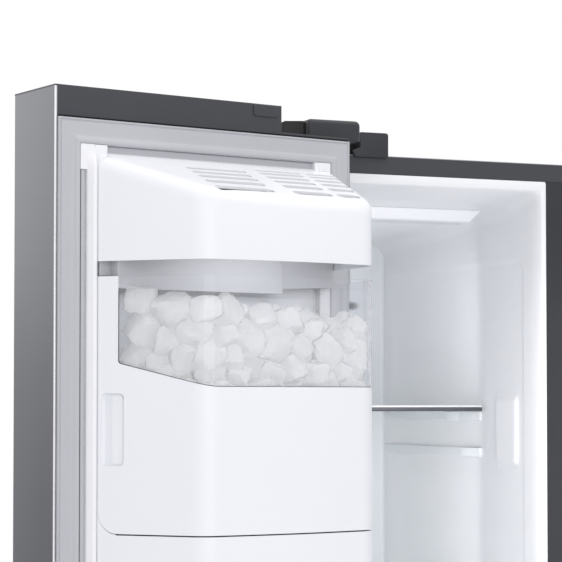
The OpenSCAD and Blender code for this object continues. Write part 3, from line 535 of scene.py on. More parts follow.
def rounded(outline: Sequence[Point], steps: int = 6) -> Ring:
    """Rounds the corners of a closed outline.

    Args:
        outline: Corners (x, y, radius).
        steps: How many straight pieces make each arc.

    Returns:
        The rounded outline's points.
    """
    points: Ring = []
    for i, at in enumerate(outline):
        after = outline[(i + 1) % len(outline)]
        points += arc_corner(outline[i - 1], at, after, at[2], steps)
    return points


def rectangle(x0: float, y0: float, x1: float, y1: float, radius: float) -> list[Point]:
    """Returns a rectangle's corners with one fillet radius."""
    return [(x0, y0, radius), (x1, y0, radius), (x1, y1, radius), (x0, y1, radius)]


@dataclass
class Shape:
    """Vertices and faces of one piece, in millimetres."""

    points: list[Point] = field(default_factory=list)
    faces: list[Sequence[int]] = field(default_factory=list)

    def ring(self, points: Iterable[Point]) -> list[int]:
        """Adds points to the shape.

        Args:
            points: The points, in order.

        Returns:
            Their numbers.
        """
        first = len(self.points)
        self.points += [tuple(p) for p in points]
        return list(range(first, len(self.points)))

    def bridge(self, one: Sequence[int], two: Sequence[int]) -> None:
        """Joins two closed rings of the same length with a band of faces.

        Args:
            one: The first ring's point numbers.
            two: The second ring's point numbers.
        """
        for i in range(len(one)):
            j = (i + 1) % len(one)
            self.faces.append((one[i], one[j], two[j], two[i]))

    def loft(self, rings: Sequence[Iterable[Point]], caps: bool = True) -> None:
        """Skins a row of closed rings.

        Args:
            rings: Rings of points, all of one length.
            caps: Whether the first and last rings are filled.
        """
        numbers = [self.ring(r) for r in rings]
        for one, two in zip(numbers, numbers[1:]):
            self.bridge(one, two)
        if caps:
            self.faces.append(numbers[0][::-1])
            self.faces.append(numbers[-1])

    def block(self, low: Point, high: Point) -> None:
        """Adds a box between two corners."""
        self.prism(rectangle(low[0], low[1], high[0], high[1], 0), low[2], high[2])

    def prism(
        self, outline: Sequence[Point], start: float, end: float, plane: str = "xy"
    ) -> None:
        """Adds a flat outline drawn out along the third axis.

        Args:
            outline: Points in the plane.
            start: Where the prism starts along the third axis.
            end: Where it ends.
            plane: "xy", "xz" or "yz".
        """
        self.loft([[lift(p, t, plane) for p in outline] for t in (start, end)])

    def rod(self, start: Point, end: Point, radius: float, sides: int) -> None:
        """Adds a round bar.

        Args:
            start: The middle of its first end.
            end: The middle of its other end.
            radius: Its radius.
            sides: How many flat sides stand for the round.
        """
        one, two = Vector(start), Vector(end)
        along = (two - one).normalized()
        side = along.orthogonal().normalized()
        up = along.cross(side)
        turns = [math.tau * i / sides for i in range(sides)]
        self.loft([
            [at + (side * math.cos(a) + up * math.sin(a)) * radius for a in turns]
            for at in (one, two)
        ])


def lift(p: Point, t: float, plane: str) -> Point:
    """Puts a flat point into space.

    Args:
        p: The point in its plane.
        t: Its place along the axis that the plane leaves out.
        plane: "xy", "xz" or "yz".

    Returns:
        The point in space.
    """
    if plane == "xy":
        return (p[0], p[1], t)
    if plane == "xz":
        return (p[0], t, p[1])
    return (t, p[0], p[1])


@dataclass(frozen=True)
class Edging:
    """How a piece's edges are eased: width in mm, segments and the angle that counts."""

    width: float = 0.0
    segments: int = 2
    angle: float = 32.0


PLAIN = Edging()
FINE = Edging(0.4, 2)
SOFT = Edging(1.0, 3)
# In metres: points closer than this are one, and edges shorter than that are dropped
MERGE, DEGENERATE = 2e-5, 1e-5
# In degrees: faces that turn less than this are one
FLAT_ANGLE = 0.6


def ease(obj: bpy.types.Object, edging: Edging) -> None:
    """Adds a bevel that catches light along the edges.

    Args:
        obj: The object.
        edging: How its edges are eased.
    """
    if edging.width <= 0:
        return
    bevel = obj.modifiers.new("edge", "BEVEL")
    bevel.width = edging.width * MM
    bevel.segments = edging.segments
    bevel.limit_method = "ANGLE"
    bevel.angle_limit = math.radians(edging.angle)
    bevel.harden_normals = True
    bevel.use_clamp_overlap = True


def make_piece(
    name: str,
    shape: Shape,
    finish: Finish,
    body: str,
    replaces: Sequence[str] = (),
    place: Optional[Matrix] = None,
    edging: Edging = PLAIN,
    sharp: float = 35.0,
    cutters: Sequence[Shape] = (),
    outward: bool = True,
) -> bpy.types.Object:
    """Makes a piece of the object that rides on one body of the frame.

    Args:
        name: The piece's name.
        shape: Its vertices and faces in millimetres.
        finish: Its material.
        body: The body that it moves with.
        replaces: Frame nodes that it stands for.
        place: From the shape's own coordinates to the row frame, in millimetres.
        edging: The bevel on its edges.
        sharp: Edges that turn more than this angle are shaded sharp.
        cutters: Closed shapes that are cut out of it.
        outward: Whether normals are made to point out of a closed form.

    Returns:
        The new object.
    """
    obj = make_mesh(name, shape, place, sharp, outward)
    for number, cutter in enumerate(cutters):
        tool = make_mesh(f"{name}_cut_{number}", cutter, place, sharp, True)
        cut = obj.modifiers.new("cut", "BOOLEAN")
        cut.object = tool
        cut.solver = "EXACT"
        apply_modifiers(obj)
        bpy.data.objects.remove(tool)
        obj.data.shade_smooth()
        obj.data.set_sharp_from_angle(angle=math.radians(sharp))
    ease(obj, edging)
    obj.data.materials.clear()
    obj.data.materials.append(material(finish))
    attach(obj, body)
    if replaces:
        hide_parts(*replaces)
    LOG.info("piece %s: %d faces, on %s", name, len(obj.data.polygons), body)
    return obj


def make_mesh(
    name: str, shape: Shape, place: Optional[Matrix], sharp: float, outward: bool
) -> bpy.types.Object:
    """Turns a shape to an object with merged points and even normals.

    Args:
        name: The object's name.
        shape: Its vertices and faces in millimetres.
        place: From the shape's own coordinates to the row frame, in millimetres.
        sharp: Edges that turn more than this angle are shaded sharp.
        outward: Whether normals are made to point out of a closed form.

    Returns:
        The new object, in metres.
    """
    mesh = bpy.data.meshes.new(name)
    matrix = Matrix.Scale(MM, 4) @ (place or Matrix.Identity(4))
    mesh.from_pydata([matrix @ Vector(p) for p in shape.points], [], shape.faces)
    work = bmesh.new()
    work.from_mesh(mesh)
    bmesh.ops.remove_doubles(work, verts=work.verts, dist=MERGE)
    bmesh.ops.dissolve_degenerate(work, dist=DEGENERATE, edges=work.edges)
    if outward:
        bmesh.ops.recalc_face_normals(work, faces=work.faces)
    work.to_mesh(mesh)
    work.free()
    mesh.shade_smooth()
    mesh.set_sharp_from_angle(angle=math.radians(sharp))
    obj = bpy.data.objects.new(name, mesh)
    bpy.context.scene.collection.objects.link(obj)
    return obj


def apply_modifiers(obj: bpy.types.Object) -> None:
    """Replaces the object's mesh by what its modifiers make of it.

    Args:
        obj: The object.
    """
    graph = bpy.context.evaluated_depsgraph_get()
    made = bpy.data.meshes.new_from_object(obj.evaluated_get(graph))
    obj.modifiers.clear()
    obj.data = made


def dress(frame: dict, node: str, finish: Finish, edging: Edging) -> None:
    """Gives a frame node its material and eased edges.

    Args:
        frame: The loaded frame.
        node: The node's name.
        finish: Its material.
        edging: The bevel on its edges, none where its width is 0.
    """
    obj = frame["nodes"][node]
    obj.data.materials.clear()
    obj.data.materials.append(material(finish))
    obj.visible_shadow = finish.alpha > 0.5
    if edging.width > 0:
        obj.modifiers.new("weld", "WELD").merge_threshold = MERGE
        flat = obj.modifiers.new("flat", "DECIMATE")
        flat.decimate_type = "DISSOLVE"
        flat.angle_limit = math.radians(FLAT_ANGLE)
        ease(obj, edging)
    LOG.info("node %s: dressed in %s", node, finish.name)


# -------- the studio


@dataclass(frozen=True)
class Lamp:
    """A soft square or tall lamp, in metres and watts."""

    name: str
    at: Point
    aim: Point
    size: float
    watts: float
    tall: float = 0.0

    def hang(self) -> None:
        """Puts the lamp in the scene, unseen, and turns it to what it lights."""
        data = bpy.data.lights.new(self.name, "AREA")
        data.size = self.size
        if self.tall:
            data.shape = "RECTANGLE"
            data.size_y = self.tall
        data.energy = self.watts
        obj = bpy.data.objects.new(self.name, data)
        obj.visible_camera = False
        obj.visible_transmission = False
        obj.location = self.at
        look = Vector(self.aim) - Vector(self.at)
        obj.rotation_euler = look.to_track_quat("-Z", "Y").to_euler()
        bpy.context.scene.collection.objects.link(obj)


ROOM_LAMPS = (
    Lamp("key", (-3.2, -4.2, 3.6), (-0.2, 0.0, 1.3), 2.4, 16),
    Lamp("top", (0.0, -0.6, 4.2), (0.0, 0.0, 1.0), 2.6, 34),
    Lamp("fill", (-1.0, -5.2, 1.7), (0.0, 0.3, 1.2), 3.0, 45),
    Lamp("rim", (-2.47, 1.79, 2.5), (-0.83, -0.1, 1.3), 1.9, 14),
)
# One lamp in each compartment's mouth, and one behind its shelves' front edges
COMPARTMENT_LAMPS = (
    Lamp("freezer_bay", (-0.259, -0.085, 0.95), (-0.259, 1.0, 0.95), 0.28, 1.28, 1.25),
    Lamp("freezer_deep", (-0.259, 0.16, 0.98), (-0.259, 1.0, 0.98), 0.28, 0.8, 1.3),
    Lamp("fridge_bay", (0.2, -0.085, 0.95), (0.2, 1.0, 0.95), 0.4, 1.792, 1.25),
    Lamp("fridge_deep", (0.2, 0.16, 0.98), (0.2, 1.0, 0.98), 0.4, 1.12, 1.3),
)


@dataclass
class Studio:
    """Floor, light and camera around the object."""

    camera_at: Point = (-1382.2, -2278.2, 1435.4)
    camera_turn: float = 22.1364
    camera_pitch: float = 2.088
    lens: float = 129.484
    sensor: float = 36.0
    shift_y: float = 0.08
    far_clip: float = 60.0
    surroundings: float = 0.76
    floor_reach: float = 9000.0
    floor_z: float = -1.0
    ice_lamp_at: Point = (172, 96, 1582)
    ice_lamp_aim: Point = (172, 20, 1556)

    def camera(self) -> None:
        """Stands the camera level with the ice bin, a little to the left."""
        data = bpy.data.cameras.new("camera")
        data.lens = self.lens
        data.sensor_width = self.sensor
        data.shift_y = self.shift_y
        data.clip_end = self.far_clip
        obj = bpy.data.objects.new("camera", data)
        obj.location = Vector(self.camera_at) * MM
        obj.rotation_euler = (
            math.radians(90 + self.camera_pitch), 0, -math.radians(self.camera_turn)
        )
        bpy.context.scene.collection.objects.link(obj)
        bpy.context.scene.camera = obj

    def world(self) -> None:
        """Gives even white surroundings and a white backdrop."""
        world = bpy.data.worlds.new("studio")
        bpy.context.scene.world = world
        world.use_nodes = True
        tree = world.node_tree
        tree.nodes.clear()
        path = add_node(tree, "ShaderNodeLightPath")
        clear = add_node(
            tree, "ShaderNodeMath", {"operation": "MAXIMUM"},
            {0: path.outputs["Is Camera Ray"], 1: path.outputs["Is Transmission Ray"]},
        )
        seen = add_node(
            tree, "ShaderNodeMath", {"operation": "MAXIMUM"},
            {0: clear.outputs[0], 1: path.outputs["Is Glossy Ray"]},
        )
        shown = add_node(
            tree, "ShaderNodeBackground", {"Color": (1, 1, 1, 1), "Strength": 1.0}
        )
        lit = add_node(
            tree, "ShaderNodeBackground",
            {"Color": linear("#f5f5f7"), "Strength": self.surroundings},
        )
        mixed = add_node(
            tree, "ShaderNodeMixShader", None,
            {0: seen.outputs[0], 1: lit.outputs[0], 2: shown.outputs[0]},
        )
        add_node(tree, "ShaderNodeOutputWorld", None, {"Surface": mixed.outputs[0]})

    def floor(self) -> None:
        """Lays a pale floor that keeps the object's shadow."""
        far = self.floor_reach
        square = rectangle(-far, -far, far, far, 0)
        shape = Shape()
        shape.faces.append(shape.ring(lift(p, self.floor_z, "xy") for p in square))
        obj = make_mesh("studio_floor", shape, None, 30, False)
        finish = bpy.data.materials.new("studio_paper")
        finish.use_nodes = True
        tree = finish.node_tree
        tree.nodes.clear()
        shader = add_node(
            tree, "ShaderNodeBsdfPrincipled",
            {"Base Color": linear("#f4f4f6"), "Roughness": 0.9},
        )
        add_node(tree, "ShaderNodeOutputMaterial", None, {"Surface": shader.outputs[0]})
        obj.data.materials.append(finish)

    def build(self) -> None:
        """Sets up the whole studio, with a small lamp over the ice in its bin."""
        self.camera()
        self.world()
        way = door_place(False)
        over_ice = Lamp(
            "ice", way @ Vector(self.ice_lamp_at) * MM,
            way @ Vector(self.ice_lamp_aim) * MM, size=0.15, watts=0.038, tall=0.02,
        )
        for lamp in (*ROOM_LAMPS, over_ice, *COMPARTMENT_LAMPS):
            lamp.hang()
        self.floor()
        bpy.context.scene.view_settings.view_transform = "Standard"


# -------- the doors

HALF_WIDTH = 456.0
PIN_IN, PIN_OUT, PIN_Y = 19.0, 48.2, -58.2
OPEN_ANGLE = 167.6
# The gasket's section: share of the way across its band, and height over the inner face
GASKET_SECTION = (
    (0, 0.2), (0, 2.6), (0.016, 3.2), (0.06, 3.2), (0.085, 2.2), (0.12, 2.4), (0.14, 3.3),
    (0.5, 3.7), (0.64, 4.6), (0.72, 6.2), (0.79, 7.7), (0.86, 8.4), (0.91, 8.4),
    (0.955, 7.8), (0.98, 6.6), (0.985, 4.6), (0.96, 4.0), (0.99, 3.2), (1, 0.2),
)
# The dyke's upper end: share of its height over the ledge, and where
DYKE_END = (
    (1, 1683), (0.93, 1688), (0.72, 1693), (0.42, 1698), (0.16, 1702), (0.03, 1706), (0, 1709),
)


def door_place(mirrored: bool) -> Matrix:
    """Gives the way from door coordinates to the row frame, with the door open.

    Args:
        mirrored: Whether the door hangs on the right side.

    Returns:
        The matrix, in millimetres.
    """
    swing = (
        Matrix.Translation((PIN_IN - HALF_WIDTH, PIN_Y, 0))
        @ Matrix.Rotation(-math.radians(OPEN_ANGLE), 4, "Z")
        @ Matrix.Translation((-PIN_IN, PIN_OUT, 0))
    )
    return Matrix.Scale(-1, 4, (1, 0, 0)) @ swing if mirrored else swing


def block_of(low: Point, high: Point) -> Shape:
    """Makes a shape that holds one box.

    Args:
        low: The corner with the lowest coordinates.
        high: The corner across from it.

    Returns:
        The shape.
    """
    shape = Shape()
    shape.block(low, high)
    return shape


def frame_ring(box: Sequence[float], depth: Sequence[float], part: float, w: float) -> Ring:
    """Makes one rectangle of a mitred frame around a door.

    Args:
        box: Outer left, right, bottom and top.
        depth: Band width at the left, right, bottom and top.
        part: How far across the band, from 0 outside to 1 inside.
        w: Height over the door's inner face.

    Returns:
        Four points.
    """
    u0, u1 = box[0] + depth[0] * part, box[1] - depth[1] * part
    z0, z1 = box[2] + depth[2] * part, box[3] - depth[3] * part
    return [(u0, w, z0), (u1, w, z0), (u1, w, z1), (u0, w, z1)]


@dataclass
class Door:
    """One door: its steel skin, end caps, gasket and inner face."""

    name: str
    width: float
    mirrored: bool
    outer: float = -96.0
    low_z: float = 45.0
    sill_z: float = 75.0
    cap_z: float = 1740.0
    well_z: float = 1741.5
    top_z: float = 1775.0
    pin_bore: float = 6.3
    grip_z: Sequence[float] = (760.0, 1160.0)
    recess: Sequence[float] = (88.0, 306.0, 798.0, 1182.0)
    gasket_bands: Sequence[float] = (30.6, 24.7, 17.6, 28.6)
    ledge: float = 8.0
    ledge_z0: float = 93.2
    corner_z: float = 1684.0
    dyke_z0: float = 115.0

    @property
    def inner(self) -> float:
        """Where the ledge's free side bar begins."""
        return self.width - 45

    @property
    def ledge_z1(self) -> float:
        """The ledge's upper edge."""
        return self.cap_z - 28.4

    def make(self, part: str, shape: Shape, finish: Finish, **options: object) -> None:
        """Makes the piece of the door that stands for the frame node of that name.

        Args:
            part: The node's name without the door's.
            shape: The piece's form in door coordinates.
            finish: Its material.
            **options: Further settings of make_piece.
        """
        make_piece(
            f"{self.name}_{part}_look", shape, finish, self.name,
            (f"{self.name}_{part}",), door_place(self.mirrored), **options,
        )

    def add(self, part: str, shape: Shape, finish: Finish, **options: object) -> None:
        """Makes a piece of the door that stands for no frame node.

        Args:
            part: The piece's name without the door's.
            shape: Its form in door coordinates.
            finish: Its material.
            **options: Further settings of make_piece.
        """
        make_piece(
            f"{self.name}_{part}", shape, finish, self.name, (),
            door_place(self.mirrored), **options,
        )

    def skin(self) -> None:
        """Bends the steel sheet around both edges, with a fold at the free one painted bright
        as its highlight.
        """
        width, out = self.width, self.outer
        z0, z1 = self.low_z + 2, self.top_z - 2
        shape = Shape()
        shape.prism(rounded([
            (3, -1, 0), (3, 0, 0), (0, 0, 1.4), (0, out, 3), (width, out, 3),
            (width, -1.3, 0), (width - 1, -1.3, 0), (width - 1, out + 1, 2),
            (1, out + 1, 2), (1, -1, 0.3),
        ]), z0, z1)
        cutters = [
            block_of(
                (width - 27, out - 1, self.grip_z[0]), (width + 1, -30, self.grip_z[1])
            ),
            block_of((-1, out - 1, self.well_z), (100, 1, self.top_z)),
        ]
        if not self.mirrored:
            left, right, low, high = self.recess
            cutters.append(block_of((left, out - 1, low), (right, out + 2, high)))
        self.make("skin", shape, STAINLESS, cutters=cutters, sharp=25)
        # Painted highlight: the fold is drawn in a bright steel that stands in for the light
        # along its edge
        fold = Shape()
        fold.prism(rounded([
            (width, -1.25, 0), (width, 0, 0.9), (width - 2.6, 0, 0.3),
            (width - 2.6, -1.25, 0),
        ], 5), z0, z1)
        self.add("fold", fold, FOLD_HIGHLIGHT, sharp=60)

    def top_cap(self) -> Shape:
        """Forms the upper end cap beside the hinge well, with its stop tab.

        Returns:
            The cap's form.
        """
        width, top, out = self.width, self.top_z, self.outer
        seam, root, back = self.cap_z + 1.9, self.cap_z - 28, out + 1.2
        shape = Shape()
        shape.prism(rounded([
            (-3.2, root, 0), (-3.2, seam, 0), (0, seam, 0.5), (0, top, 0.9),
            (out + 0.5, top, 1.0), (out + 0.5, top - 1.8, 0), (back, top - 1.8, 0),
            (back, root, 0),
        ], 5), 98.8, width - 2.6, "yz")
        shape.prism(rounded([
            (-3.2, top - 1.8, 0), (0, top - 1.8, 0), (0, top, 0.9), (out + 0.5, top, 1.0),
            (out + 0.5, top - 1.8, 0),
        ], 5), width - 2.7, width - 0.5, "yz")
        shape.block((width - 2.7, back, root), (width - 1.2, -3.2, top - 1.7))
        tab = rounded(rectangle(104, top - 14.6, 138, top - 0.6, 3))
        slim = rounded(rectangle(104.8, top - 13.8, 137.2, top - 1.4, 2.4))
        shape.loft([
            [(x, w, z) for x, z in ring] for ring, w in ((tab, -1), (tab, 1.1), (slim, 1.9))
        ])
        return shape

    def caps(self) -> None:
        """Moulds both end caps, each with a bore for its hinge pin."""
        seam, root, back = self.cap_z + 1.9, self.cap_z - 28, self.outer + 1.2
        rim = self.well_z + 2.8
        self.make("caps", self.top_cap(), DARK_ABS, sharp=30)
        well = Shape()
        well.prism(rounded([
            (-3.2, root, 0), (-3.2, seam, 0), (0, seam, 0.4), (0, rim, 0.6),
            (-2.6, rim, 0.5), (-2.6, self.well_z, 0), (back, self.well_z, 0),
            (back, root, 0),
        ], 4), 3.2, 98.7, "yz")
        sill = Shape()
        sill.prism(rounded([
            (-1.2, self.low_z, 2), (-1.2, self.sill_z, 0), (back, self.sill_z, 0),
            (back, self.low_z, 3),
        ], 5), 1.2, self.width - 1.2, "yz")
        for part, form, z0, z1 in (
            ("well", well, self.cap_z - 24, self.cap_z + 40),
            ("sill", sill, self.low_z - 5, self.low_z + 23),
        ):
            bore = Shape()
            bore.rod((PIN_IN, -PIN_OUT, z0), (PIN_IN, -PIN_OUT, z1), self.pin_bore, 40)
            self.add(part, form, DARK_ABS, cutters=(bore,), edging=FINE)

    def gasket(self) -> None:
        """Lays the soft gasket around the door with mitred corners."""
        box = (3.2, self.width - 3.1, self.sill_z + 0.2, self.cap_z - 0.2)
        rings = [frame_ring(box, self.gasket_bands, part, w) for part, w in GASKET_SECTION]
        shape = Shape()
        shape.loft(rings + rings[:1], caps=False)
        self.make("gasket", shape, GASKET_PVC, sharp=28)

    def dyke(self) -> Ring:
        """Draws the section of the dyke at the free side.

        Returns:
            Its outline, seen from above.
        """
        inner = self.inner
        return rounded([
            (inner - 0.2, 7, 0), (inner + 9.9, 7, 0), (inner + 9.3, 8.4, 2),
            (inner + 4.6, 14.6, 2.4), (inner + 1.6, 15, 2), (inner - 0.2, 13.6, 1.5),
        ], 5)

    def level_bars(self) -> list[tuple[float, float, float, float]]:
        """Lists the ledge's lower and upper bars; the ice module breaks the upper one.

        Returns:
            First and last place, lowest and highest height of each bar.
        """
        first, last, high = 51, self.inner, self.ledge_z1
        lower = (first, last, self.ledge_z0, 108)
        if self.mirrored:
            return [lower, (first, last, 1703.6, high)]
        low = self.corner_z + 0.2
        return [lower, (first, 57, low, high), (334, last, low, high)]

    def liner(self) -> None:
        """Forms the white inner face: ledge, free side groove and dykes."""
        inner, ledge = self.inner, self.ledge
        shape = Shape()
        shape.block(
            (3.2, -3, self.sill_z + 0.2), (self.width - 4.2, -0.05, self.cap_z - 0.2)
        )
        for u0, u1 in ((34.1, 51.0), (inner, inner + 9.6)):
            bar = rounded([(u0, -1, 0), (u1, -1, 0), (u1, ledge, 1.2), (u0, ledge, 1.2)], 4)
            shape.prism(bar, self.ledge_z0, self.ledge_z1)
        groove = rectangle(inner + 9.6, -1, inner + 17.4, 2.6, 0)
        shape.prism(groove, self.ledge_z0, self.corner_z)
        shape.prism(rounded([
            (inner + 9, -1, 0), (inner + 17.6, -1, 0), (inner + 17.6, ledge, 1.2),
            (inner + 9, ledge, 0),
        ], 4), self.corner_z, self.ledge_z1)
        for u0, u1, z0, z1 in self.level_bars():
            bar = rounded([(-1, z0, 0), (-1, z1, 0), (ledge, z1, 1.0), (ledge, z0, 1.0)], 4)
            shape.prism(bar, u0, u1, "yz")
        shape.prism(
            rounded([(47, -1, 0), (51, -1, 0), (51, 25, 1.9), (47.2, 25, 1.9)], 5),
            self.dyke_z0, 1695 if self.mirrored else 996,
        )
        shape.loft([
            [(x, y if y < ledge else ledge + (y - ledge) * part, z) for x, y in self.dyke()]
            for part, z in ((1, self.dyke_z0), *DYKE_END)
        ])
        shape.block((47.5, -1, 115.2), (inner + 6, 14.6, 120.8))
        self.make("liner", shape, LINER_HIPS, sharp=30)

    def seals(self) -> None:
        """Fills the seam under the cap with black that paints its shade, lays dark strips that
        paint shadow lines in the groove beside the ledge, and lays the seals.
        """
        inner, z0, z1 = self.inner, 96, self.corner_z - 0.4
        seam = Shape()
        seam.prism(
            rectangle(-3.1, self.cap_z, -0.9, self.cap_z + 1.85, 0), 3.6, self.width - 1.4,
            "yz",
        )
        # Painted shade: a matt black strip fills the seam under the cap, standing in for its
        # shadow
        self.add("cap_seam_shade", seam, SHADE_BLACK, sharp=60)
        # Painted shade: the channel is a dark strip that stands in for the shadow line between
        # the gasket and the seal; on the freezer door a second one, at the end of the seal
        # under the ice module, stands in for the shaded notch there
        shade_channel, seal = Shape(), Shape()
        shade_channel.prism(rectangle(inner + 17, 2.7, inner + 18.7, 6.9, 0), z0, z1)
        seal.prism(rounded([
            (inner + 11.8, 2.7, 0), (inner + 16.7, 2.7, 0), (inner + 16.7, 6.6, 1.2),
            (inner + 11.8, 6.6, 1.2),
        ], 4), z0, z1)
        if not self.mirrored:
            shade_channel.prism(rectangle(-0.9, 1703.8, 2.7, 1710.3, 0), 331.8, 333.6, "yz")
            seal.prism(rectangle(-0.9, 1703.7, 2.6, 1710.4, 0), 57.2, 331.6, "yz")
        self.add("shade_channel", shade_channel, FINISHES["grille"], sharp=60)
        self.add("side_seal", seal, GASKET_PVC)

    def build(self) -> None:
        """Builds all the pieces of the door."""
        self.skin()
        self.caps()
        self.gasket()
        self.liner()
        self.seals()


# -------- the ice module


def inset_outline(form: Sequence[Point], inset: float, steps: int = 6) -> Ring:
    """Moves an outline inwards and rounds its corners.

    Args:
        form: Corners (x, y, radius), counter-clockwise.
        inset: The distance that the sides move inwards.
        steps: How many straight pieces make each rounded corner.

    Returns:
        The smaller outline's points.
    """
    moved: list[Point] = []
    count = len(form)
    for i, at in enumerate(form):
        before, after = Vector(form[i - 1][:2]), Vector(form[(i + 1) % count][:2])
        here = Vector(at[:2])
        one, two = (here - before).normalized(), (after - here).normalized()
        first = here + Vector((-one.y, one.x)) * inset
        second = here + Vector((-two.y, two.x)) * inset
        turn = one.x * two.y - one.y * two.x
        gap = second - first
        point = first + one * ((gap.x * two.y - gap.y * two.x) / turn)
        radius = at[2] + inset if turn < 0 else at[2] - inset
        moved.append((point.x, point.y, max(radius, 1.0) if at[2] else 0))
    return rounded(moved, steps)


def drawn(outline: Ring, start: float, end: float, plane: str = "xy") -> Shape:
    """Makes a shape that holds one outline, drawn out.

    Args:
        outline: Points in the plane.
        start: Where the form starts along the third axis.
        end: Where it ends.
        plane: "xy", "xz" or "yz".

    Returns:
        The shape.
    """
    shape = Shape()
    shape.prism(outline, start, end, plane)
    return shape


@dataclass
class ModulePart:
    """A part of the ice module on the freezer door, with the sizes that all share.

    The plan goes from the back's free side over the slanted face to the hinge side.
    """

    plan: Sequence[Point] = (
        (348.5, 0.2, 0), (348.5, 15.5, 3), (277, 117, 40), (164.5, 133, 500), (56, 129, 30),
        (37, 9.4, 0), (52, 9.4, 0), (52, 0.2, 0),
    )
    back: float = 0.2
    depth: float = 133.0
    bin_z0: float = 1290.4
    auger: Point = (120, 66)
    chute: Point = (200, 66)
    corner_reach: Sequence[float] = (12.4, 25.0)
    body: str = "freezer_door"

    def outline(self, inset: float, steps: int = 10) -> Ring:
        """Gives the plan, moved inwards by inset and rounded in steps."""
        return inset_outline(self.plan, inset, steps)

    def wall_strip(self, inset: float, thick: float) -> Ring:
        """Draws a wall that follows the plan and is open at the back.

        Args:
            inset: How far the wall stands inside the plan.
            thick: How thick it is.

        Returns:
            The wall's outline, seen from above.
        """
        inner = self.outline(inset + thick)
        inner[0] = (inner[0][0], self.back)
        inner[-1] = (inner[-1][0], self.back)
        return self.outline(inset) + inner[::-1]

    def corner_arc(self, u: float, z: float) -> Ring:
        """Draws the rounded lower corner of the bin's front.

        Args:
            u: Where the arc's middle is across the door.
            z: How high it is.

        Returns:
            Points from the corner's foot up its side.
        """
        run, rise = self.corner_reach
        turns = [math.radians(-90 + 9 * i) for i in range(11)]
        return [(u + run * math.cos(a), z + rise * math.sin(a)) for a in turns]

    def ice_ways(self, low: float, high: float) -> Shape:
        """Makes the holes for the auger's shaft and for the falling ice.

        Args:
            low: Where the cutting form starts.
            high: Where it ends.

        Returns:
            Both round bars that cut them.
        """
        holes = Shape()
        for (u, w), radius, sides in ((self.auger, 7, 40), (self.chute, 28, 48)):
            holes.rod((u, w, low), (u, w, high), radius, sides)
        return holes

    def make(
        self, name: str, shape: Shape, finish: Finish, replaces: Sequence[str] = (),
        **options: object,
    ) -> bpy.types.Object:
        """Makes a piece of the ice module.

        Args:
            name: The piece's name.
            shape: Its form in door coordinates.
            finish: Its material.
            replaces: Frame nodes that it stands for.
            **options: Further settings of make_piece.

        Returns:
            The new object.
        """
        return make_piece(
            name, shape, finish, self.body, replaces, door_place(False), **options
        )


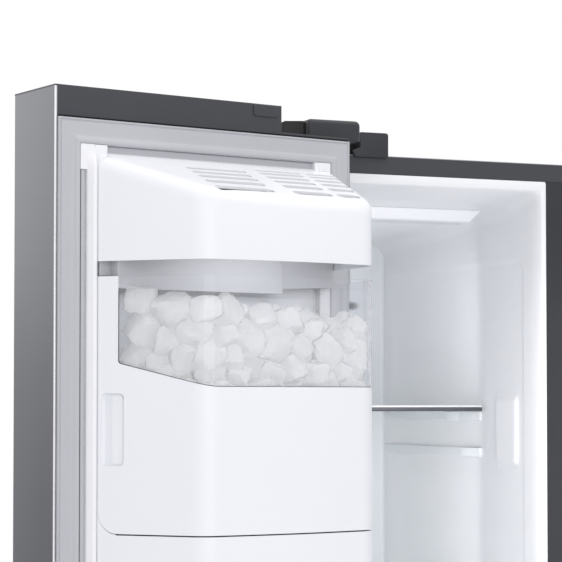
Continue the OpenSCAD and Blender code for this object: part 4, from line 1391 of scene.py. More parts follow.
@dataclass
class IceMaker(ModulePart):
    """The ice maker's cover with its vents, a dark plate behind them that paints the shade
    seen through them, and its lower frame.
    """

    cover_z0: float = 1584.5
    roof_front: float = 1652.0
    roof_back: float = 1705.0
    wall: float = 3.0
    roll: float = 13.0
    # The vents, row by row: place, width, last slot's end (0 for none) and lean
    vents: Sequence[Sequence[float]] = (
        (25, 5.5, 0, 0), (35, 7, 254, 0.8), (48.5, 8, 254, 1.5), (63, 9, 255, 2),
        (80, 10.5, 257, 3), (101, 12, 258, 4),
    )
    # How far under the roof the dark plate that paints the vents' shade lies: its top, then
    # its underside
    vent_shade_drop: Sequence[float] = (9.0, 11.0)

    def roof_at(self, w: float) -> float:
        """Height of the cover's roof at a distance from the door's inner face."""
        return self.roof_back - (self.roof_back - self.roof_front) * w / self.depth

    def roll_at(self, x: float, y: float, fillet: float) -> float:
        """Widens the rolled edge at the slanted face and narrows it at the back.

        Args:
            x: Place across the door.
            y: Distance from the door's inner face.
            fillet: The edge's radius elsewhere.

        Returns:
            The radius at that place.
        """
        wide = fillet
        if x > 270:
            wide = fillet * (1 + 0.5 * min(1.0, (x - 270) / 40) * min(1.0, y / 40))
        return min(wide, 2.5) if y < 12 else wide

    def body_form(self, inset: float, fillet: float, low: float) -> Shape:
        """Makes the cover's solid form: walls, a rolled edge and a sloping roof.

        Args:
            inset: How far its walls and roof stand inside the cover's outside.
            fillet: Radius of the rolled edge at the front.
            low: Height of the lower edge.

        Returns:
            The solid.
        """
        base = self.outline(inset)
        inward: list[Vector] = []
        for i in range(len(base)):
            along = Vector(base[(i + 1) % len(base)]) - Vector(base[i - 1])
            inward.append(Vector((-along.y, along.x)).normalized())
        rings: list[Ring] = [[(x, y, low) for x, y in base]]
        for angle in (math.radians(15 * step) for step in range(7)):
            ring: Ring = []
            for (x, y), turn in zip(base, inward):
                wide = self.roll_at(x, y, fillet)
                move = wide * (1 - math.cos(angle))
                u, w = x + turn.x * move, y + turn.y * move
                roof = self.roof_at(w) - inset - wide * (1 - math.sin(angle))
                ring.append((u, max(w, self.back + inset), roof))
            rings.append(ring)
        shape = Shape()
        shape.loft(rings)
        return shape

    def slots(self) -> Shape:
        """Makes the forms that cut the vents, in rows across the roof.

        Returns:
            All the slots.
        """
        slots = Shape()
        for w, wide, left, lean in self.vents:
            right = 44 + max(0.0, (w - 40) * 26 / 70)
            spans = [(93 + lean * 3, 155 + lean / 2), (right, 85 + lean * 3)]
            if left:
                spans.append((171 + lean * 3, left))
            for u0, u1 in spans:
                radius = wide * 0.49
                ring = rounded([
                    (u0, w, radius), (u1 - 2, w, radius), (u1 + 2, w + wide, radius),
                    (u0, w + wide, radius),
                ])
                slots.prism(ring, self.roof_front - 20, self.roof_back + 5)
        return slots

    def cover(self) -> None:
        """Moulds the cover with its rows of vent slots."""
        inner = self.body_form(self.wall, self.roll - 2.5, self.cover_z0 - 1)
        self.make(
            "ice_maker_cover_look", self.body_form(0, self.roll, self.cover_z0), WHITE_ABS,
            ("ice_maker_cover",), cutters=(inner, self.slots()), edging=Edging(0.5, 2, 40),
            sharp=40,
        )

    def vent_shade(self) -> None:
        """Adds a dark plate under the roof that paints the shade seen through the cover's
        slots.
        """
        places = (8, 40, 75, 118)
        top, under = self.vent_shade_drop
        section = [(w, self.roof_at(w) - top) for w in places]
        section += [(w, self.roof_at(w) - under) for w in reversed(places)]
        self.make(
            "ice_maker_vent_shade", drawn(section, 66, 262, "yz"), FINISHES["motor"], sharp=30
        )

    def deck(self) -> None:
        """Adds the lower frame of the ice maker behind the window's upper edge."""
        shape = Shape()
        shape.prism(rounded([
            (118, 1555, 1), (333, 1555, 3), (333, 1600, 0), (118, 1600, 0),
        ]), 10, 30, "xz")
        shape.prism(rounded([
            (44, 1564.5, 2), (117.8, 1561, 1), (117.8, 1600, 0), (44, 1600, 0),
        ]), 9.5, 26, "xz")
        shape.prism(rounded([
            (60, 20, 4), (322, 20, 4), (316, 52, 4), (280, 100, 12), (70, 104, 8),
        ]), 1597, 1600)
        shape.block((331, 0.3, 1569), (346, 13, 1600))
        # Its grey is partly painted shade, for the shadow under the cover
        self.make("ice_maker_deck", shape, FINISHES["deck"], edging=FINE)

    def build(self) -> None:
        """Builds the cover, the dark plate that paints the vents' shade, and the lower frame.
        """
        self.cover()
        self.vent_shade()
        self.deck()


@dataclass
class IceHeap:
    """Lumps of ice that fell into the bucket, pushed apart where they crowd."""

    walls: Ring
    count: int = 132
    seed: int = 7
    low: float = 1424.0
    high: float = 1540.0
    spread: Sequence[Sequence[float]] = ((60, 320), (25, 110))
    smallest: float = 15.0
    growth: float = 11.0
    rounds: int = 160
    # Shares of the half widths that lumps keep from each other and from the walls
    lump_gap: float = 0.8
    wall_gap: float = 0.86
    push: float = 0.28
    sink: float = 0.7
    # The top's height, and its waves' height, length and shift
    top_z: float = 1538.0
    waves: Sequence[float] = (9.0, 23.0, 0.8)
    # How far a lump's six sides and its chips stand from its middle
    side_reach: Sequence[float] = (0.66, 0.9)
    chip_reach: Sequence[float] = (0.85, 1.0)
    sharpness: int = 26

    def edges(self) -> list[tuple[float, float, float, float]]:
        """Lists the bucket's walls.

        Returns:
            A point of each wall and the direction that leads inwards from it.
        """
        found = []
        for i, start in enumerate(self.walls):
            a, b = Vector(start), Vector(self.walls[(i + 1) % len(self.walls)])
            d = b - a
            if d.length > 1e-6:
                found.append((a.x, a.y, -d.y / d.length, d.x / d.length))
        return found

    def settle(
        self, places: np.ndarray, sizes: np.ndarray, edges: Sequence[Sequence[float]]
    ) -> None:
        """Lets the lumps sink and pushes them off each other and off the walls.

        Args:
            places: Their middles, which this moves.
            sizes: Their half widths.
            edges: The bucket's walls.
        """
        wave, length, shift = self.waves
        for _ in range(self.rounds):
            gap = places[:, None, :] - places[None, :, :]
            far = np.linalg.norm(gap, axis=2) + np.eye(self.count) * 1e3
            need = (sizes[:, None] + sizes[None, :]) * self.lump_gap
            push = np.clip(need - far, 0, None) / far * self.push
            places += (gap * push[:, :, None]).sum(axis=1)
            places[:, 2] -= self.sink
            for ax, ay, nx, ny in edges:
                inside = (places[:, 0] - ax) * nx + (places[:, 1] - ay) * ny
                miss = np.clip(sizes * self.wall_gap - inside, 0, None)
                places[:, 0] += nx * miss
                places[:, 1] += ny * miss
            floor = self.low + sizes
            top = self.top_z + wave * np.sin(places[:, 0] / length + shift)
            places[:, 2] = np.clip(places[:, 2], floor, np.maximum(top - 4, floor))

    def facets(self, rng: random.Random) -> list[tuple[Vector, float]]:
        """Draws the flat sides of one lump: a worn box with a few broken corners.

        Args:
            rng: The source of chance.

        Returns:
            Each side's direction and its share of the half width.
        """
        sides: list[tuple[Vector, float]] = []

        def pair(way: Vector) -> None:
            """Adds two sides that face away from each other."""
            sides.extend([(w, rng.uniform(*self.side_reach)) for w in (way, -way)])

        # The first two directions and the one square to both make the box. The next four
        # are drawn but left out, and the last four are the broken corners.
        for i in range(10):
            side = Vector([rng.gauss(0, 1) for _ in range(3)]).normalized()
            if i < 2:
                pair(side)
            if i == 1:
                pair(side.cross(sides[0][0]).normalized())
            if i > 5:
                sides.append((side, rng.uniform(*self.chip_reach)))
        return sides

    def lump(
        self, shape: Shape, centre: Vector, size: float, rng: random.Random,
        edges: Sequence[Sequence[float]],
    ) -> None:
        """Adds one lump of ice: a boxy, worn form in a random position.

        Args:
            shape: Where it is added.
            centre: Its middle in door coordinates.
            size: Its half width.
            rng: The source of chance.
            edges: The bucket's walls, which it lies against.
        """
        sides = self.facets(rng)
        seed = Vector([rng.uniform(0, 50) for _ in range(3)])
        power = self.sharpness
        work = bmesh.new()
        bmesh.ops.create_icosphere(work, subdivisions=3, radius=1.0)
        first = len(shape.points)
        for vertex in work.verts:
            n = vertex.co.normalized()
            near = 0.8**power + sum((max(n.dot(s), 0) / far) ** power for s, far in sides)
            reach = min(near ** (-1 / power), 1.2)
            dent = 1 + 0.06 * noise.noise(n * 2.6 + seed) + 0.03 * noise.noise(n * 7.0 + seed)
            at = centre + n * (reach * dent * size)
            for ax, ay, nx, ny in edges:
                miss = (at.x - ax) * nx + (at.y - ay) * ny
                if miss < 0:
                    at -= Vector((nx, ny, 0)) * miss
            shape.points.append(tuple(at))
        shape.faces += [[first + v.index for v in face.verts] for face in work.faces]
        work.free()

    def fill(self, shape: Shape) -> None:
        """Heaps the lumps into a shape.

        Args:
            shape: Where they are added.
        """
        rng = random.Random(self.seed)
        places = np.array([
            (*(rng.uniform(*reach) for reach in self.spread), rng.uniform(self.low, self.high))
            for _ in range(self.count)
        ])
        sizes = np.array([
            self.smallest + self.growth * rng.random() ** 1.6 for _ in range(self.count)
        ])
        edges = self.edges()
        self.settle(places, sizes, edges)
        for place, size in zip(places, sizes):
            self.lump(shape, Vector(place), float(size), rng, edges)


@dataclass
class IceBin(ModulePart):
    """The ice bin: white front, finger grip, clear window, inner bucket and the ice."""

    window_z0: float = 1449.0
    window_z1: float = 1568.0
    shell: float = 4.3
    grip_z: Sequence[float] = (1362.5, 1444.0)
    bucket_inset: float = 4.5
    body: str = "ice_bin"

    def on_slant(self, s: float, n: float, z: float) -> Point:
        """Finds a point by the bin's slanted face.

        Args:
            s: Distance along the face, from its free side.
            n: Distance out of it.
            z: Height.

        Returns:
            The point in door coordinates.
        """
        start = Vector(self.plan[1][:2])
        along = (Vector(self.plan[2][:2]) - start).normalized()
        at = start + along * s + Vector((along.y, -along.x)) * n
        return (at.x, at.y, z)

    def upright(self, section: Ring, z0: float, z1: float) -> list[Ring]:
        """Draws a section (s, n) by the slanted face at two heights."""
        return [[self.on_slant(s, n, z) for s, n in section] for z in (z0, z1)]

    def window_edge(self, gap: float, filled: bool) -> Shape:
        """Makes a form that cuts out the window, or all that lies around it.

        Args:
            gap: How far its edge stands inside the window's own edge.
            filled: Whether the window itself is cut.

        Returns:
            The cutting form.
        """
        left, low = 335.1 - gap, self.window_z0 + gap
        edge = [(left, 1620, 0), (left, low + 25.3, 4), (274.5, low, 80), (-20, low, 0)]
        around = [(-20, 1400, 0), (420, 1400, 0), (420, 1620, 0)]
        rest = [(-20, 1620, 0)] if filled else around
        return drawn(rounded(edge + rest, 12), -1, 150, "xz")

    def corner_cut(self) -> Shape:
        """Makes the form that rounds off the lower corner of the bin's front.

        Returns:
            The cutting form.
        """
        u, z, low = 336.2, self.bin_z0 + 26.6, self.bin_z0 - 6
        outline = [(u - 2, low), (u - 2, z - 25)] + self.corner_arc(u, z)
        return drawn(outline + [(360, z), (360, low)], -1, 90, "xz")

    def grip_hole(self) -> Shape:
        """Makes the opening for the fingers through the bin's slanted face.

        Returns:
            The cutting form.
        """
        ring = rounded([(4, 1364.5, 4), (30.2, 1364.5, 5), (30.2, 1442, 5), (4, 1442, 4)])
        shape = Shape()
        shape.loft([[self.on_slant(s, n, z) for s, z in ring] for n in (-9, 2)])
        return shape

    def front(self) -> None:
        """Moulds the white front."""
        wall = drawn(self.wall_strip(0, self.shell), self.bin_z0 + 1.5, self.window_z1)
        self.make(
            "ice_bin_front_look", wall, WHITE_ABS, ("ice_bin_front",),
            cutters=(self.window_edge(0, True), self.corner_cut(), self.grip_hole()),
            edging=Edging(0.5, 2, 38), sharp=35,
        )

    def grip(self) -> None:
        """Moulds the shell behind the opening: a rolled edge, a well and a raised floor, and a
        dark strip deep in the slot beside the floor that paints the shadow line there.
        """
        low, high = self.grip_z
        shape = Shape()
        shape.loft(self.upright(rounded([
            (2.4, -2.0, 0), (3.4, -0.7, 1.5), (9.5, -9, 5), (33, -9, 0), (33, -10.6, 0),
            (8, -10.6, 2),
        ]), low, high))
        floor = rectangle(14.2, 1365.8, 27.5, 1440.7, 3.5)
        shape.loft([
            [self.on_slant(s, n, z) for s, z in inset_outline(floor, inset, 4)]
            for inset, n in ((0, -8.9), (0, -4.6), (0.6, -4.0))
        ])
        end = [(4, -5), (8, -4.5), (33, -4.5), (33, -10.6), (9, -10.6)]
        for z0, z1 in ((1360.6, 1362.4), (1444.1, 1446)):
            shape.loft(self.upright(end, z0, z1))
        self.make("ice_bin_grip", shape, WHITE_ABS, sharp=30)
        # Painted shade: a dark grey strip at the bottom of the slot stands in for the shadow
        # line along the grip's edge
        shade = Shape()
        shade.loft(self.upright(
            [(27.7, -8.9), (30.5, -8.9), (30.5, -6), (27.7, -7.4)], 1367, 1439.5
        ))
        self.make("ice_bin_grip_shade", shade, FINISHES["grille"], sharp=30)

    def window(self) -> None:
        """Moulds the clear window and a thin dark ring around it that paints the shaded gap
        along its edge.
        """
        low, high = self.window_z0 - 2, self.window_z1
        # Painted shade: the dark ring stands in for the shadow in the thin gap at the window's
        # edge
        self.make(
            "ice_window_shade_ring", drawn(self.wall_strip(0.25, 2.2), low, high - 16),
            FINISHES["grille"],
            cutters=(self.window_edge(0.05, False), self.window_edge(0.7, True)), sharp=35,
        )
        pane = self.make(
            "ice_window_look", drawn(self.wall_strip(0.1, 2.6), low, high), CLEAR_STYRENE,
            ("ice_window",), cutters=(self.window_edge(0.75, False),),
            edging=Edging(0.5, 2, 38), sharp=35,
        )
        pane.visible_shadow = False

    def bucket(self) -> None:
        """Moulds the inner bucket with its floor and back."""
        inset = self.bucket_inset
        shape = Shape()
        shape.prism(self.wall_strip(inset, 2), 1341, 1445)
        shape.prism(self.outline(inset), 1341, 1343)
        shape.prism(rounded([
            (58, 1343, 0), (340, 1343, 0), (340, 1552, 12), (58, 1552, 12),
        ]), 0.3, 3, "xz")
        shape.prism(rounded([
            (70, 1350, 0), (328, 1350, 0), (328, 1545, 8), (70, 1545, 8),
        ]), 2.9, 4.2, "xz")
        self.make(
            "ice_bucket_look", shape, FINISHES["bucket"], ("ice_bucket",), edging=FINE,
            cutters=(self.ice_ways(1330, 1350),),
        )

    def ice(self) -> None:
        """Fills the bucket with ice: a plain block under the heaped lumps."""
        walls = self.outline(self.bucket_inset, 4)
        walls[0], walls[-1] = (walls[0][0], 10.0), (walls[-1][0], 10.0)
        shape = drawn(self.outline(9, 4), 1344, 1430)
        IceHeap(walls).fill(shape)
        lumps = self.make(
            "ice_cubes", shape, CLOUDY_ICE, ("ice_load",), sharp=32, outward=False
        )
        lumps.visible_shadow = False

    def build(self) -> None:
        """Builds the front, the grip, the window, the bucket and the ice."""
        self.front()
        self.grip()
        self.window()
        self.bucket()
        self.ice()


@dataclass
class DispenserHousing(ModulePart):
    """The housing under the bin, with the corner that the bin's front leaves free."""

    housing_z0: float = 1000.0
    wall: float = 3.0

    def build(self) -> None:
        """Moulds the housing and its corner."""
        top, low = self.bin_z0, self.housing_z0
        inner = drawn(self.outline(self.wall), low + self.wall, top - self.wall)
        self.make(
            "dispenser_housing_look", drawn(self.outline(0), low, top), WHITE_ABS,
            ("dispenser_housing",), cutters=(inner, self.ice_ways(top - 6, top + 4)),
            edging=Edging(0.8, 2, 38),
        )
        u, run = 336.4, self.corner_reach[0]
        beyond = drawn(
            [(-20, top - 10), (u, top - 10)] + self.corner_arc(u, top + 26)
            + [(u + run, top + 40), (-20, top + 40)], -1, 150, "xz",
        )
        self.make(
            "bin_corner_look", drawn(self.wall_strip(-0.12, 2.8), top - 1.5, top + 26),
            WHITE_ABS, cutters=(beyond,),
        )


# -------- the cabinet

# How far the sunk panel in the side walls goes in, and the shelves' bosses come out
PANEL_SINK, BOSS_RISE = 2.8, 4.2
# Depths at which a tub is skinned, close together where the wall's relief changes
TUB_DEPTHS = (
    30, 35, 38, 40, 42, 43.5, 45, 47, 50, 54, 57, 59, 61, 63, 65, 68, 72, 85, 100, 112, 115,
    117, 119, 121, 124, 130, 150, 200, 260, 320, 366, 373, 376, 377.2, 380, 388, 400, 415,
    430, 440, 446, 450, 453, 455, 457, 460, 464, 475, 495, 515,
)
# The same for its heights: by each shelf, and at the sunk panel's lower and upper edge
SHELF_LEVELS = (-78, -73, -70, -67, -62, -30, 9, 14, 17, 20, 25)
PANEL_LEVELS = (
    400, 413, 417, 420, 423, 427, 436, *range(460, 1580, 80), 1590, 1600, 1606, 1610, 1613,
    1616, 1619, 1623, 1630, 1655, 1690,
)


def smooth(value: float, low: float, high: float) -> float:
    """Goes softly from 0 at low to 1 at high."""
    part = min(1.0, max(0.0, (value - low) / (high - low)))
    return part * part * (3 - 2 * part)


def patch(y: float, z: float, box: Sequence[float], radius: float, soft: float) -> float:
    """Draws a rounded rectangle with a soft rim on a wall.

    Args:
        y: Depth into the cabinet.
        z: Height.
        box: First and last depth, lowest and highest height.
        radius: Radius of its corners.
        soft: Width of the rim.

    Returns:
        1 inside the rectangle and 0 outside.
    """
    dy = abs(y - (box[0] + box[1]) / 2) - (box[1] - box[0]) / 2 + radius
    dz = abs(z - (box[2] + box[3]) / 2) - (box[3] - box[2]) / 2 + radius
    far = math.hypot(max(dy, 0), max(dz, 0)) + min(max(dy, dz), 0) - radius
    return 1 - smooth(far, -soft / 2, soft / 2)


@dataclass
class CabinetPart:
    """A part of the cabinet, with the inner sizes that all of them share."""

    freezer_x: tuple[float, float] = (-420.0, -98.0)
    fridge_x: tuple[float, float] = (-20.0, 420.0)
    freezer_shelves: Sequence[float] = (820.0, 1120.5, 1421.0)
    fridge_shelves: Sequence[float] = (610.0, 880.33, 1150.67, 1421.0)
    floor_z: float = 110.0
    step_y: float = 376.0
    step_z: float = 345.0
    ceiling_z: float = 1703.0
    brow_y: float = 68.0
    brow_drop: float = 11.0
    ceiling_fall: float = 0.066
    cavity_d: float = 545.0

    def ceiling_at(self, y: float) -> float:
        """Finds the ceiling, which drops behind the lip and then falls gently.

        Args:
            y: Depth into the cabinet.

        Returns:
            Its height.
        """
        if y < self.brow_y:
            return self.ceiling_z - self.brow_drop * y / self.brow_y
        return self.ceiling_z - self.brow_drop - self.ceiling_fall * (y - self.brow_y)

    def bays(self) -> tuple[tuple[tuple[float, float], Sequence[float]], ...]:
        """Pairs each compartment's side walls with the heights of its shelves."""
        return ((self.freezer_x, self.freezer_shelves), (self.fridge_x, self.fridge_shelves))

    def make(
        self, name: str, shape: Shape, finish: Finish, replaces: Sequence[str] = (),
        **options: object,
    ) -> bpy.types.Object:
        """Makes a piece of the cabinet.

        Args:
            name: The piece's name.
            shape: Its form in the row frame.
            finish: Its material.
            replaces: Frame nodes that it stands for.
            **options: Further settings of make_piece.

        Returns:
            The new object.
        """
        return make_piece(name, shape, finish, "cabinet", replaces, **options)


@dataclass(kw_only=True)
class Tub(CabinetPart):
    """One vacuum formed liner with its lip."""

    name: str
    walls: tuple[float, float]
    shelves: Sequence[float]
    lip: float = 11.4
    lip_height: float = 13.0
    mouth_depth: float = 26.0
    mouth_flare: float = 6.5
    back_bend: float = 24.0
    panel: Sequence[float] = (43.5, 455, 420, 1617)
    boss: Sequence[float] = (61, 118.5, -70, 17)

    def relief(self, y: float, z: float) -> float:
        """Finds how far a side wall stands out: a sunk panel and a boss at each shelf.

        Args:
            y: Depth into the cabinet.
            z: Height.

        Returns:
            The height of the relief, below 0 where it is sunk.
        """
        sunk = patch(y, z, self.panel, radius=16, soft=6) * (1 - smooth(y, 404, 450))
        first, last, low, high = self.boss
        bosses = (
            patch(y, z, (first, last, shelf + low, shelf + high), radius=6, soft=7)
            for shelf in self.shelves
        )
        return BOSS_RISE * sum(bosses) - PANEL_SINK * sunk

    def levels(self) -> list[float]:
        """Lists the heights of the wall's points.

        Returns:
            The heights, from low to high.
        """
        found = {float(z) for z in PANEL_LEVELS}
        for shelf in self.shelves:
            found |= {shelf + d for d in SHELF_LEVELS}
        return sorted(found)

    def side(self, hand: int, grow: float, y: float, heights: Sequence[float]) -> Ring:
        """Draws one side wall at one depth, from low to high.

        Args:
            hand: 1 for the left wall and -1 for the right one.
            grow: How far the wall stands outside the cavity.
            y: The depth.
            heights: Where its points are.

        Returns:
            The wall's points.
        """
        x = self.walls[0] - grow if hand > 0 else self.walls[1] + grow
        if y <= 8:
            return [(x, y, z) for z in heights]
        return [(x + hand * self.relief(y, z), y, z) for z in heights]

    def ring(self, y: float, grow: float, rise: float, radius: float) -> Ring:
        """Makes one section across the tub.

        Args:
            y: Depth of the section.
            grow: How far its sides stand outside the cavity.
            rise: How far its top and bottom stand outside the cavity.
            radius: Radius of its corners.

        Returns:
            The section's points.
        """
        low = (self.step_z if y > self.step_y + 1 else self.floor_z) - rise
        high = self.ceiling_at(y) + rise
        heights = [low + (400 - low) * part for part in (0.2, 0.5, 0.8)]
        heights += [min(z, high - radius - 1 - 0.001 * (1700 - z)) for z in self.levels()]
        heights[0] = max(heights[0], low + radius)
        left, right = self.walls[0] - grow + radius, self.walls[1] + grow - radius

        def corner(x: float, z: float, first: float) -> Ring:
            """Draws a quarter circle around (x, z) from its first angle."""
            turns = [math.radians(first + 15 * i) for i in range(7)]
            return [(x + radius * math.cos(a), y, z + radius * math.sin(a)) for a in turns]

        return [
            *corner(right, low + radius, -90), *self.side(-1, grow, y, heights),
            *corner(right, high - radius, 0), *corner(left, high - radius, 90),
            *reversed(self.side(1, grow, y, heights)), *corner(left, low + radius, 180),
        ]

    def build(self) -> None:
        """Skins the tub from its lip over its rolled mouth to its back wall."""
        lip, high = self.lip, self.lip_height
        rings = [
            self.ring(1.9, lip, high - 0.1, 2.5), self.ring(0.4, lip, high - 0.1, 2.5),
            self.ring(0.0, lip - 0.4, high - 0.5, 2.2),
        ]
        for i in range(10):
            angle = math.radians(10 * i)
            rings.append(self.ring(
                self.mouth_depth * (1 - math.cos(angle)) + 0.001 * i,
                self.mouth_flare * (1 - math.sin(angle)), 1.6 * max(0.0, 1 - i / 4), 6 + i,
            ))
        rings += [
            self.ring(float(y), 0, 0, min(22.0, 15 + (y - self.mouth_depth) * 0.2))
            for y in TUB_DEPTHS
        ]
        bend = self.back_bend
        for i in range(1, 7):
            angle = math.radians(15 * i)
            shrink = -bend * (1 - math.cos(angle)) * 0.85
            depth = self.cavity_d - bend + bend * math.sin(angle)
            rings.append(self.ring(depth, shrink, shrink, 22 - 1.5 * i))
        shape = Shape()
        shape.loft(rings, caps=False)
        count = len(shape.points)
        shape.faces.append(list(range(count - len(rings[-1]), count)))
        self.make(f"{self.name}_look", shape, LINER_HIPS, (self.name,), sharp=50)


@dataclass
class CabinetFoam(CabinetPart):
    """The foam between the case and the liners."""

    base_z: float = 41.0
    hump_z: float = 303.0
    top_z: float = 1737.0
    front_y: float = 4.0
    hump_y: float = 420.0
    back_y: float = 548.0

    def build(self) -> None:
        """Fills the side walls, the floors with their step, the ceilings and the back."""
        base, hump, top = self.base_z, self.hump_z, self.top_z
        front, ledge, back = self.front_y, self.hump_y, self.back_y
        shape = Shape()
        for x0, x1 in ((-454.5, -427), (-91, -27), (427, 454.5)):
            shape.block((x0, front, base), (x1, ledge - 1, top))
            shape.block((x0, ledge, hump), (x1, back, top))
        for x0, x1 in ((-426.8, -91.2), (-26.8, 426.8)):
            shape.block((x0, front, base), (x1, ledge - 1, 106))
            shape.block((x0, 380, 107), (x1, ledge - 1, 340))
            shape.block((x0, ledge, hump), (x1, back, 340))
            shape.prism([
                (front, 1719), (66, 1700), (back, 1668), (back, top), (front, top),
            ], x0, x1, "yz")
        shape.block((-454.5, back + 1, hump), (454.5, 607, top))
        self.make(
            "cabinet_foam_look", shape, FINISHES["foam"], ("cabinet_foam",),
            edging=Edging(2.0, 2, 35),
        )


@dataclass
class AirDucts(CabinetPart):
    """Both duct panels with their vents; the freezer's is coved into the side walls."""

    freezer_y: float = 470.0
    cove: float = 6.0
    fan_radius: float = 56.0
    fan_z: float = 930.0
    freezer_vents: Sequence[float] = (520, 700, 1260, 1330, 1500, 1570)
    fridge_rows: int = 4
    vent_half: float = 30.0
    vent_height: float = 10.0

    def vent(self, x: float, z: float, y: float) -> Shape:
        """Makes the form of one rounded vent slot.

        Args:
            x: Its middle.
            z: Its lower edge.
            y: Depth of the panel that it cuts.

        Returns:
            The cutting form.
        """
        half = self.vent_half
        slot = rounded(rectangle(x - half, z, x + half, z + self.vent_height, 4.6), 5)
        return drawn(slot, y - 8, y + 10, "xz")

    def freezer(self) -> None:
        """Forms the freezer's panel with its fan opening and three columns of vents."""
        x0, x1 = self.freezer_x
        start = self.freezer_y - self.cove
        front, back = [], []
        for i in range(8):
            angle = math.radians(90 * i / 7)
            run, rise = self.cove * (1 - math.cos(angle)), math.sin(angle)
            front.append((x0 + 0.2 + run, start + self.cove * rise))
            back.append((x0 + run, start + 8.6 * rise))
        front += [(x0 + x1 - x, y) for x, y in reversed(front)]
        back += [(x0 + x1 - x, y) for x, y in reversed(back)]
        panel = drawn(
            front + back[::-1], self.step_z + 0.6, self.ceiling_at(self.freezer_y) - 0.4
        )
        middle = (x0 + x1) / 2
        fan = Shape()
        fan.rod((middle, 460, self.fan_z), (middle, 480, self.fan_z), self.fan_radius, 64)
        vents = [
            self.vent(middle + x, z, self.freezer_y)
            for z in self.freezer_vents for x in (-90, 0, 90)
        ]
        self.make(
            "freezer_duct_look", panel, FINISHES["duct"], ("duct_panels",),
            cutters=[fan] + vents, sharp=30,
        )

    def fridge(self) -> None:
        """Forms the fridge's raised duct with two columns of vents."""
        middle = sum(self.fridge_x) / 2
        back, face = self.cavity_d, self.cavity_d - 26
        top = self.ceiling_at(face) - 60
        forms = []
        for side, y0, y1, z0, z1 in (
            (130, face, back - 0.6, self.step_z + 0.6, top),
            (127, face + 3, back + 0.4, self.step_z - 2, top - 3),
        ):
            forms.append(drawn(rounded([
                (middle - side, y1, 0), (middle - side, y0, 9), (middle + side, y0, 9),
                (middle + side, y1, 0),
            ]), z0, z1))
        duct, hollow = forms
        first, last = self.step_z + 415, self.ceiling_z - 163
        rise = (last - first) / (self.fridge_rows - 1)
        vents = [
            self.vent(middle + x, first + i * rise, face)
            for i in range(self.fridge_rows) for x in (-70, 70)
        ]
        self.make(
            "fridge_duct_look", duct, FINISHES["duct"], cutters=[hollow] + vents,
            edging=FINE, sharp=30,
        )

    def build(self) -> None:
        """Builds both panels."""
        self.freezer()
        self.fridge()


@dataclass
class CeilingLights(CabinetPart):
    """The lenses of the cabinet lights with sloping ends."""

    front_y: float = 122.0
    back_y: float = 172.0
    side_gap: float = 18.0
    # How far each level stands inside the lens's plan, and under the ceiling
    slope: Sequence[Sequence[float]] = ((0, 0.3), (0.6, 1.2), (10, 12.8), (11, 13.4))

    def build(self) -> None:
        """Makes a lens for each compartment."""
        shape = Shape()
        for (x0, x1), _ in self.bays():
            rings = []
            for inset, drop in self.slope:
                gap = self.side_gap + inset
                outline = rectangle(
                    x0 + gap, self.front_y + inset, x1 - gap, self.back_y - inset * 0.5, 3
                )
                rings.append([
                    (x, y, self.ceiling_at(y) - drop) for x, y in rounded(outline, 4)
                ])
            shape.loft(rings)
        self.make("cabinet_lights_look", shape, FINISHES["lens"], ("cabinet_lights",))


